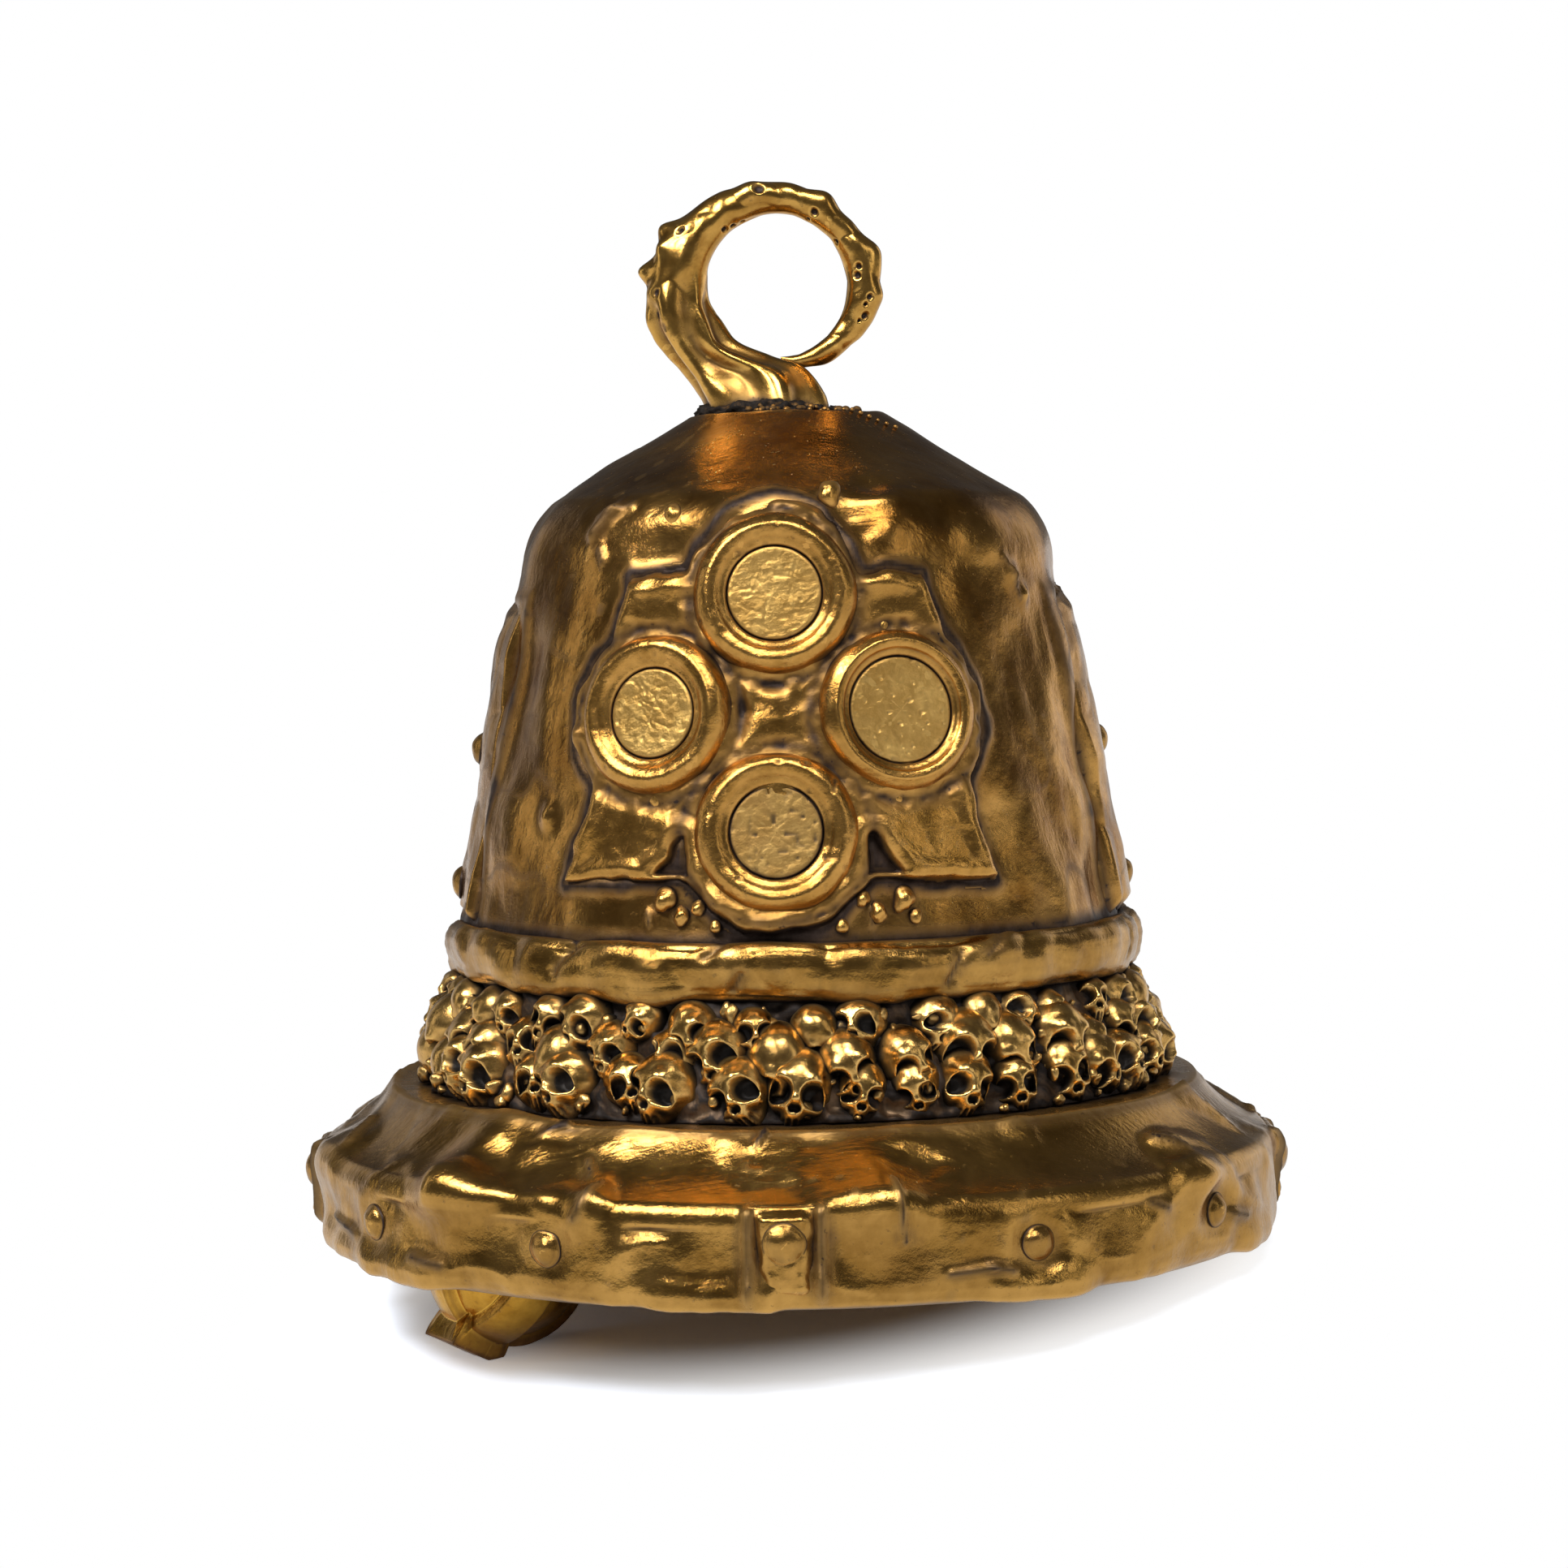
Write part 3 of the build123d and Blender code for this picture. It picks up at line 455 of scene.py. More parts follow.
skull_brass = brass("skull_brass", (0.98, 0.60, 0.19), (0.40, 0.21, 0.052), (0.010, 0.007, 0.005),
                    (0.14, 0.31), patina=1.25, mottle=500, crevice_and_shade_reach=0.0020)
# Long crevice reach for the knop: painted shade under the bell's rim and a painted reflection of its dark
# underside.
bright_brass = brass("bright_brass", (0.90, 0.50, 0.075), (0.50, 0.235, 0.026), (0.13, 0.052, 0.010),
                     (0.08, 0.2), patina=0.9, mottle=300, crevice_and_shade_reach=0.006, bump=0.3)
horn_brass = brass("horn_brass", (0.92, 0.53, 0.13), (0.46, 0.23, 0.045), DARK, (0.11, 0.26), mottle=380,
                   crevice_and_shade_reach=0.0018, bump=0.16)
braze = brass("braze", (0.50, 0.26, 0.07), (0.09, 0.04, 0.018), (0.012, 0.008, 0.006), (0.3, 0.6), patina=1.2,
              mottle=600, crevice_and_shade_reach=0.0012)
inside_brass = brass("hanger_brass", (0.56, 0.36, 0.13), (0.30, 0.18, 0.065), DARK, (0.25, 0.45), patina=0.9,
                     mottle=300)


# ---------------- outline of the front plate
def polygon_distance(u, v, corners):
    """Signed distance to a polygon, negative inside."""
    corners = np.asarray(corners, float)
    best, inside = np.full_like(u, 1e9), np.zeros(u.shape, bool)
    for (ax, ay), (bx, by) in zip(corners, np.roll(corners, -1, 0)):
        ex, ey = bx - ax, by - ay
        t = np.clip(((u - ax) * ex + (v - ay) * ey) / (ex * ex + ey * ey), 0, 1)
        best = np.minimum(best, np.hypot(u - ax - t * ex, v - ay - t * ey))
        crosses = ((ay > v) != (by > v)) & (u < (bx - ax) * (v - ay) / (by - ay + 1e-12) + ax)
        inside ^= crosses
    return np.where(inside, -best, best)


def soft_min(a, b, k):
    h = np.clip(0.5 + 0.5 * (b - a) / k, 0, 1)
    return b * (1 - h) + a * h - k * h * (1 - h)


LOBES = ((-11.4, 0.0), (11.4, 0.0), (0.0, 11.15), (0.0, -11.15))
# Outline and pocket of a barb, across from the middle and away from it, below and above the middle.
BARBS = {
    -1: (((4.0, 9.0), (8.0, 15.2), (19.9, 16.0), (18.2, 10.0), (17.4, 5.0), (12.0, 3.5)),
         ((8.2, 11.4), (10.4, 14.8), (7.8, 14.9))),
    1: (((3.5, 8.5), (6.5, 13.4), (15.2, 12.9), (16.3, 9.0), (17.0, 5.5), (12.0, 3.5)), ()),
}
EMBLEM_R = 29.4


def emblem_distance(az, z):
    """Signed distance to the front plate's outline on the surface, negative inside."""
    u, v = (az - math.radians(EMBLEM_AZ)) * EMBLEM_R, z - EMBLEM_Z
    distance = np.hypot(u, v) - 10.5
    for du, dv in LOBES:
        distance = soft_min(distance, np.hypot(u - du, v - dv) - 8.9, 0.8)
    for side in (-1, 1):
        for rise, (barb, pocket) in BARBS.items():
            distance = soft_min(distance, polygon_distance(u * side, v * rise, barb), 0.6)
            if pocket:
                distance = np.maximum(distance, 0.15 - polygon_distance(u * side, v * rise, pocket))
    ragged = 0.4 * noise(polar(az, waist_radius(z), z), 3.2, 101, 2)
    return distance + ragged * smooth(-3, 0, distance)


# ---------------- casting
skin_profile = np.concatenate([
    resample([(CROWN_BORE_R, CROWN_Z), (CROWN_R, CROWN_Z)], 1.0)[:-1],
    resample([(CROWN_R, CROWN_Z), *arc(*SHOULDER[1:])], 0.42)[:-1],
    resample(arc(WAIST_TOP, WAIST_MID, WAIST_FOOT), 0.38)[:-1],
    resample([WAIST_FOOT, (WAIST_FOOT[0], BAND_LOW_Z), (GROUND_TOP_R - FRIEZE_SEAT, BAND_LOW_Z),
              (GROUND_LOW_R - FRIEZE_SEAT, GROUND_LOW_Z), (LIP_R, LIP_Z), (LIP_R, LIP_EDGE_Z)], 2.0)[:-1],
    resample([(LIP_R, LIP_EDGE_Z), (LIP_BORE_R, LIP_EDGE_Z)], 0.7)[:-1],
    resample([(LIP_BORE_R, LIP_EDGE_Z), (LIP_BORE_R, LIP_Z - 0.9), (NECK_R + 3.8, GROUND_LOW_Z - 1.5),
              (NECK_R, BAND_LOW_Z - 0.8), (NECK_R, BAND_TOP_Z), (WAIST_MID[0] - WALL, WAIST_MID[1]),
              (WAIST_TOP[0] - WALL, WAIST_TOP[1]), (23.9, 69.6), (22.6, 71.9),
              (CROWN_R, CROWN_FLOOR_Z)], 2.1)[:-1],
    resample([(CROWN_R, CROWN_FLOOR_Z), (CROWN_BORE_R, CROWN_FLOOR_Z), (CROWN_BORE_R, CROWN_Z)], 1.8)[:-1],
])[::-1]


def shell_relief(az, r, z, nr, nz):
    """Cast skin outside down to the band; a rougher, darker casting inside."""
    height, grime_and_shade = skin_relief(az, z, r)
    outer = (r >= waist_radius(z) - 0.05) & (z > BAND_TOP_Z - 0.3)
    p = polar(az, r, z)
    inner = (r < 42.5) & ~outer
    rough = 0.16 * noise(p, 5.0, 21, 2) + 0.05 * noise(p, 1.3, 22)
    rough *= smooth(4, 12, r) * np.where(z < LIP_Z, 0.3, 1.0)
    lift = np.where(outer, height * smooth(4.0, 7.0, r), np.where(inner, rough, 0.0))
    edge = smooth(1.6, 0.2, z - BAND_TOP_Z)
    stain = 0.3 * np.exp(-(((az + 0.62) / 0.3) ** 2) - ((r - 13.5) / 4.0) ** 2)
    crevice = np.where(np.abs(az) < 0.9, hump(emblem_distance(az, z) - 0.6, 0.62), 0.0)
    for a in PLATE_EDGES:
        u = np.abs(arc_from(az, a, r))
        beside = np.maximum(u - PLATE_HALF_WIDTH, np.abs(z - PLATE_MIDDLE_Z) - PLATE_HALF_HEIGHT)
        crevice = np.maximum(crevice, 0.6 * hump(beside - 0.3, 0.7))
    lift = np.where(outer, lift - 0.35 * crevice, lift)
    grime_and_shade = np.where(outer, grime_and_shade + 0.8 * edge + stain + 1.1 * crevice, 0.42 + 0.25 * noise(p, 9.0, 23, 2))
    return lift, grime_and_shade


AZIMUTH_COUNT = 430
AZIMUTHS = front_dense(AZIMUTH_COUNT)
verts, grime_and_shade = revolve(skin_profile, AZIMUTHS, shell_relief)
make_grid_piece("bell_casting", verts, grime_and_shade, cast, "bell_shell")

# ---------------- mouth hoop
HOOP_CUTS = (
    ((10.5, 10.2), (11.3, 6.2), 0.28, 0.6), ((-34, 13.9), (-31, 15.4), 0.3, 0.4),
    ((-5, 14.0), (-4, 15.3), 0.3, 0.5), ((49, 12.0), (52, 10.6), 0.5, 0.6),
    ((57.5, 4.6), (61, 3.9), 0.45, 0.6), ((16, 3.1), (21, 3.4), 0.4, 0.45),
    ((21, 3.4), (23.2, 3.0), 0.4, 0.4), ((-68, 4.2), (-61, 3.4), 0.5, 0.5),
    ((-22.5, 10.4), (-24, 8.2), 0.4, 0.45), ((-26, 12.4), (-24.5, 11.2), 0.35, 0.4),
    ((-47, 3.0), (-42, 2.6), 0.5, 0.4), ((42, 7.4), (44.5, 6.6), 0.4, 0.35),
    ((96, 9.9), (99, 6.0), 0.3, 0.6), ((143, 10.0), (141, 6.6), 0.3, 0.6),
    ((-118, 3.4), (-110, 2.8), 0.4, 0.5), ((-165, 10.3), (-163, 6.8), 0.3, 0.6),
    ((166, 3.0), (172, 3.6), 0.4, 0.45), ((-75, 12.4), (-70, 10.4), 0.4, 0.5),
)
# Pinches in the ridge: azimuth in degrees, width, depth (below zero is a swelling).
HOOP_PINCHES = (
    (-52, 5, -0.9), (-43, 4, 0.8), (-23, 3, 0.7), (-15, 5, -0.5), (9, 4, 0.5), (38, 6, -0.5), (52, 4, 1.0),
    (63, 5, -0.7), (84, 6, 0.6), (108, 5, -0.6), (133, 6, 0.7), (162, 5, -0.5), (-170, 6, 0.6),
    (-140, 5, -0.7), (-116, 6, 0.7), (-96, 4, -0.6), (-72, 5, 0.7),
)
STRAPS = (-1.4, 88.0, 178.6, -88.0)
RIM_RIVETS, RIM_RIVET_Z = (-55.5, -28.0, 26.5, 54.5, 124.5, 152.0, -153.5, -125.5), 5.2
hoop_profile = np.concatenate([
    resample([(HOOP_SEAT_R, GROUND_LOW_Z), (HOOP_LEDGE_R, GROUND_LOW_Z)], 0.8)[:-1],
    resample(arc((HOOP_LEDGE_R, GROUND_LOW_Z), (HOOP_LEDGE_R + 3.2, GROUND_LOW_Z - 3.4),
                 (HOOP_R - 0.9, HOOP_RIDGE_Z)), 0.3)[:-1],
    resample([(HOOP_R - 0.9, HOOP_RIDGE_Z), (HOOP_R - 0.52, HOOP_RIDGE_Z - 0.36),
              (HOOP_R - 0.22, HOOP_RIDGE_Z - 0.85), (HOOP_R - 0.05, HOOP_RIDGE_Z - 1.5),
              (HOOP_R, HOOP_RIDGE_Z - 2.3), (HOOP_R, 2.4), (HOOP_R - 0.12, 1.5),
              (HOOP_R - 0.5, 0.75), (HOOP_R - 1.1, 0.2), (HEEL_R, 0)], 0.26)[:-1],
    resample([(HEEL_R, 0), (HOOP_BORE_R, 0)], 0.6)[:-1],
    resample([(HOOP_BORE_R, 0), (HOOP_BORE_R, LIP_Z), (HOOP_SEAT_R, GROUND_LOW_Z)], 2.2)[:-1],
])[::-1]


def hoop_relief(az, r, z, nr, nz):
    """Beaten and torn skin of the mouth hoop; its seat on the casting stays true."""
    p = polar(az, r, z)
    seat = smooth(HEEL_R - 0.6, HEEL_R + 0.5, r + np.maximum(0, z - HOOP_RIDGE_Z) * 1.6) * smooth(0.0, 0.9, z)
    seat = np.where(r < HOOP_LEDGE_R - 0.3, 0.0, seat)
    facets = creases(p, 10.0, 41)
    height = 0.7 * (facets - 0.45) + 0.75 * noise(p, 9.5, 42, 2) + 0.18 * noise(p, 3.8, 43, 2)
    height = height + 0.022 * noise(p, 0.7, 44, 2)
    height += 0.75 * noise(girth(az), 6.0, 47, 2) * hump(z - HOOP_RIDGE_Z, 1.8)
    for a, wide, deep in HOOP_PINCHES:
        height -= 1.5 * deep * hump(arc_from(az, a, HOOP_R), wide) * hump(z - HOOP_RIDGE_Z, 3.4)
    height -= 1.5 * np.clip(noise(girth(az), 6.5, 48), 0, 1) * smooth(4.2, 0.6, z)
    cuts, mask = cut_marks(az, z, HOOP_R, HOOP_CUTS)
    grooves = np.zeros_like(az)
    for a in STRAPS:
        side = np.abs(arc_from(az, a, HOOP_R))
        grooves = np.maximum(grooves, hump(side - 3.25, 0.62) * smooth(0.6, 2.4, z) * smooth(10.0, 8.8, z))
    pits = pitting(p, 1.2, 8.0, 45)
    for a in RIM_RIVETS:
        height *= smooth(1.7, 3.6, np.hypot(arc_from(az, a, HOOP_R), z - RIM_RIVET_Z))
    height = np.minimum(height, 0.75) - cuts - 0.95 * grooves - 0.6 * pits
    grime_and_shade = 0.9 * mask + 0.75 * grooves + 2.0 * pits + 0.5 * smooth(1.4, 0.2, np.abs(z - GROUND_LOW_Z))
    lift = height * seat
    return np.where(nz < -0.05, np.minimum(lift, 0.0), lift), grime_and_shade * seat + 0.25 * (1 - seat)


verts, grime_and_shade = revolve(hoop_profile, AZIMUTHS, hoop_relief)
make_grid_piece("mouth_hoop", verts, grime_and_shade, rim_cast, "rim_hoop")

# ---------------- plain band and frieze ground
BAND_NOTCHES = (
    ((-41, 28.6), (-37.5, 31.6), 0.4, 0.4), ((-14, 30.6), (-11.0, 31.9), 0.35, 0.35),
    ((-9.5, 27.2), (-8.0, 29.0), 0.4, 0.4), ((24.5, 27.4), (26.9, 30.6), 0.35, 0.45),
    ((31, 30), (35, 31.8), 0.35, 0.3), ((70, 28), (72, 31), 0.35, 0.4), ((120, 28), (122, 31), 0.35, 0.4),
    ((160, 29), (163, 31.6), 0.3, 0.4), ((-150, 28), (-148, 31), 0.35, 0.4),
    ((-100, 29), (-98, 31.6), 0.3, 0.4),
)
band_profile = resample([
    (WAIST_FOOT[0], BAND_LOW_Z), (WAIST_FOOT[0], BAND_TOP_Z), (BAND_R - 1.1, BAND_TOP_Z),
    (BAND_R - 0.45, BAND_TOP_Z - 0.5), (BAND_R - 0.05, BAND_TOP_Z - 1.3), (BAND_R + 0.1, BAND_TOP_Z - 2.3),
    (BAND_R + 0.05, BAND_LOW_Z + 2.1), (BAND_R - 0.1, BAND_LOW_Z + 1.2), (BAND_R - 0.5, BAND_LOW_Z + 0.45),
    (BAND_R - 1.1, BAND_LOW_Z), (WAIST_FOOT[0], BAND_LOW_Z),
], 0.27)[:-1]


def band_relief(az, r, z, nr, nz):
    """Hand-cut band: uneven width, dents along it and small notches."""
    p = polar(az, r, z)
    free = smooth(WAIST_FOOT[0] + 0.2, WAIST_FOOT[0] + 1.2, r)
    height = 0.4 * (creases(p, 6.0, 61) - 0.35) + 0.5 * noise(p, 6.0, 62) + 0.2 * noise(p, 2.8, 65)
    height = height + 0.02 * noise(p, 0.9, 63)
    wave = 0.5 * noise(girth(az), 14.0, 64, 2)
    lobe = 0.9 * hump((az - math.radians(-22)) * 35, 3.2)
    height += np.abs(nz) * (wave * np.sign(nz) + lobe * (nz < 0))
    cuts, mask = cut_marks(az, z, BAND_R, BAND_NOTCHES)
    return (height - cuts) * free, 0.8 * mask + 0.3 * smooth(0.9, 0.1, r - WAIST_FOOT[0])


verts, grime_and_shade = revolve(band_profile, AZIMUTHS, band_relief)
make_grid_piece("waist_band_beaten", verts, grime_and_shade, rim_cast, "waist_band")

ground_profile = resample([
    (GROUND_TOP_R - GROUND_THICKNESS, BAND_LOW_Z), (GROUND_TOP_R, BAND_LOW_Z),
    (GROUND_LOW_R, GROUND_LOW_Z + GAP), (GROUND_LOW_R - GROUND_THICKNESS, GROUND_LOW_Z + GAP),
    (GROUND_TOP_R - GROUND_THICKNESS, BAND_LOW_Z),
], 0.4)[:-1]


def ground_relief(az, r, z, nr, nz):
    """Pitted dark ground between the skulls."""
    p = polar(az, r, z)
    face = smooth(0.3, 0.9, nr)
    height = 0.45 * noise(p, 1.7, 71, 2) + 0.9 * (0.35 - creases(p, 2.4, 74)) + 0.14 * noise(p, 0.7, 72)
    return height * face, 0.35 + 0.3 * noise(p, 2.4, 73)


verts, grime_and_shade = revolve(ground_profile, AZIMUTHS, ground_relief)
make_grid_piece("frieze_ground", verts, grime_and_shade, ground_dark, "frieze_strip")


# ---------------- skulls
def ball_mesh(subdivisions, crowd=0.0):
    """Vertices and triangles of a unit ball, with its vertices crowded towards +Z."""
    ball = bmesh.new()
    bmesh.ops.create_icosphere(ball, subdivisions=subdivisions, radius=1.0)
    verts = np.array([v.co[:] for v in ball.verts])
    faces = np.array([[v.index for v in f.verts] for f in ball.faces])
    ball.free()
    verts[:, 2] += crowd
    return verts / np.linalg.norm(verts, axis=1)[:, None], faces


BALL, BALL_FACES = ball_mesh(5, 0.42)


def skull_form(rng):
    """One skull of about two units' height, facing +Z with +Y up, and its grime with painted shade in its
    hollows.
    """
    d = BALL
    broad = rng.uniform(0.80, 0.88)
    v = d * np.array([broad, 1.0, 0.98])
    v[:, 0] *= 1 - 0.40 * smooth(-0.1, -0.8, d[:, 1])
    v[:, 1] *= 1 + 0.12 * smooth(-0.1, -0.8, d[:, 1])
    front = smooth(0.1, 0.45, d[:, 2])

    def near(x, y, size, edge=0.22):
        away = np.hypot(v[:, 0] - x, v[:, 1] - y)
        return smooth(size * (1 + edge), size * (1 - edge), away) * front

    eye_y, eye_x, eye_r = rng.uniform(-0.24, -0.16), rng.uniform(0.36, 0.39), rng.uniform(0.235, 0.275)
    eyes = np.maximum(near(-eye_x, eye_y, eye_r), near(eye_x, eye_y, eye_r))
    nose = np.maximum(near(-0.045, -0.55, 0.085, 0.5), near(0.045, -0.55, 0.085, 0.5))
    brow = sum(near(side * eye_x, eye_y + 0.36, 0.17, 0.9) for side in (-1, 1))
    cheek = sum(near(side * 0.52, -0.52, 0.16, 0.9) for side in (-1, 1))
    hollow = sum(near(side * 0.40, -0.80, 0.13, 0.9) for side in (-1, 1))
    temple = smooth(0.55, 0.8, np.abs(d[:, 0])) * smooth(0.5, 0.0, np.abs(d[:, 1] + 0.1))
    temple = temple * smooth(-0.2, 0.4, d[:, 2])
    mouth = smooth(-0.78, -0.86, v[:, 1]) * front * smooth(0.34, 0.2, np.abs(v[:, 0]))
    teeth = mouth * smooth(0.2, 0.8, np.cos(v[:, 0] * 44))
    bridge = near(0, -0.34, 0.09, 0.8)
    push = 0.07 * brow + 0.09 * cheek - 0.09 * hollow - 0.08 * temple + 0.05 * bridge + 0.07 * teeth
    v = v + d * (push - 0.06 * mouth + 0.015 * noise(d + rng.uniform(0, 50), 0.4, 5))[:, None]
    v[:, 2] -= 0.52 * eyes + 0.26 * nose
    # The eye sockets, nose, mouth and cheek hollows are darkened: painted shade, with dirt.
    return v, np.clip(1.0 * eyes + 0.9 * nose + 0.35 * mouth * (1 - teeth) + 0.25 * hollow, 0, 1)


def turn_matrix(yaw, pitch, roll_angle):
    turn = Matrix.Rotation(roll_angle, 3, "Z") @ Matrix.Rotation(yaw, 3, "Y") @ Matrix.Rotation(pitch, 3, "X")
    return np.array(turn)


def tangent_frame(azimuth, r, z, pitch):
    """Origin and the sideways, upward and outward directions of a place on the bell's outside."""
    a = azimuth
    out = np.array([math.sin(a) * math.cos(pitch), -math.cos(a) * math.cos(pitch), math.sin(pitch)])
    across = np.array([math.cos(a), math.sin(a), 0.0])
    return np.array([r * math.sin(a), -r * math.cos(a), z]), np.stack([across, np.cross(out, across), out])


def on_ground(azimuth, distance):
    """Radius and height of a place down the frieze's slope."""
    run = math.hypot(GROUND_LOW_R - GROUND_TOP_R, BAND_LOW_Z - GROUND_LOW_Z)
    share = distance / run
    r = GROUND_TOP_R + (GROUND_LOW_R - GROUND_TOP_R) * share
    return r, BAND_LOW_Z - (BAND_LOW_Z - GROUND_LOW_Z) * share


def seated(verts):
    """The same points, none of them deeper than the frieze's seat."""
    share = (BAND_LOW_Z - verts[:, 2]) / (BAND_LOW_Z - GROUND_LOW_Z)
    seat_r = GROUND_TOP_R + (GROUND_LOW_R - GROUND_TOP_R) * share - SKULL_DEPTH
    push = np.maximum(1.0, seat_r / np.hypot(verts[:, 0], verts[:, 1]))
    return verts * np.stack([push, push, np.ones_like(push)], 1)


rng = np.random.default_rng(11)
SKULL_FORMS = 5
FORMS = [skull_form(rng) for _ in range(SKULL_FORMS)]
SKULL_ROWS = (  # distance down the slope, number round, smallest and largest height, start azimuth
    (2.6, 40, 5.0, 7.0, 0.05), (5.8, 39, 6.0, 8.2, 0.14), (8.9, 40, 6.0, 8.2, 0.0),
)
FIFTHS = 5  # the frieze's skulls are kept as this many pieces
fifths = [[] for _ in range(FIFTHS)]
for distance, count, small, large, start in SKULL_ROWS:
    for i in range(count):
        azimuth = start + TAU * i / count + rng.uniform(-0.035, 0.035)
        height = rng.uniform(small, large)
        down = distance + rng.uniform(-0.7, 0.7)
        r, z = on_ground(azimuth, min(max(down, height * 0.42), 11.4 - height * 0.36))
        origin, axes = tangent_frame(azimuth, r - 0.17 * height + rng.uniform(-0.2, 0.35), z, GROUND_PITCH)
        bowed = rng.random() < 0.14
        yaw = rng.uniform(-0.5, 0.5)
        pitch = rng.uniform(0.7, 1.1) if bowed else rng.uniform(-0.25, 0.3)
        lolling = 0.55 if rng.random() < 0.8 else 1.4
        tilt = turn_matrix(yaw, pitch, rng.uniform(-lolling, lolling))
        form, grime_and_shade = FORMS[rng.integers(len(FORMS))]
        verts = seated(origin + (form @ tilt.T * height / 2) @ axes)
        fifths[int((azimuth % TAU) / TAU * FIFTHS) % FIFTHS].append((verts, BALL_FACES, grime_and_shade))
CRUMB, CRUMB_FACES = ball_mesh(3)
CRUMBS = 420
for i in range(CRUMBS):
    azimuth, distance, size = rng.uniform(0, TAU), rng.uniform(0.6, 11.2), rng.uniform(0.3, 0.9)
    r, z = on_ground(azimuth, distance)
    origin, axes = tangent_frame(azimuth, r + rng.uniform(0.0, 0.7), z, GROUND_PITCH)
    lumps = CRUMB * (1 + 0.3 * noise(CRUMB + i, 0.8, 6)[:, None]) * size * rng.uniform(0.7, 1.4, 3)
    fifths[int(azimuth / TAU * FIFTHS) % FIFTHS].append((seated(origin + lumps @ axes), CRUMB_FACES, 0.2))
for i, fifth in enumerate(fifths):
    verts, faces, grime_and_shade = merge(fifth)
    make_piece(f"skulls_{i + 1}", verts, faces, "bell", skull_brass,
               ["skulls_upper", "skulls_lower"], grime_and_shade)


# ---------------- ring bosses, discs and rivets
def turned(profile, count, place, relief, sag_r=None):
    """Grid of a (radius, height) profile turned round a tangent frame's outward axis, and its grime.

    relief(x, y, h, r, phi) gives how far each point moves in radius and in height, and the grime. The grid
    sags to either side to follow a surface of radius sag_r.
    """
    profile = np.asarray(profile, float)
    phi, r = np.meshgrid(np.arange(count) * TAU / count, profile[:, 0])
    h = np.meshgrid(phi[0], profile[:, 1])[1]
    outward, upward, grime_and_shade = relief(r * np.cos(phi), r * np.sin(phi), h, r, phi)
    moved_r = r + outward
    x, y, h = moved_r * np.cos(phi), moved_r * np.sin(phi), h + upward
    if sag_r:
        h = h - x * x / (2 * sag_r)
    origin, axes = place
    return origin + np.stack([x, y, h], -1) @ axes, grime_and_shade


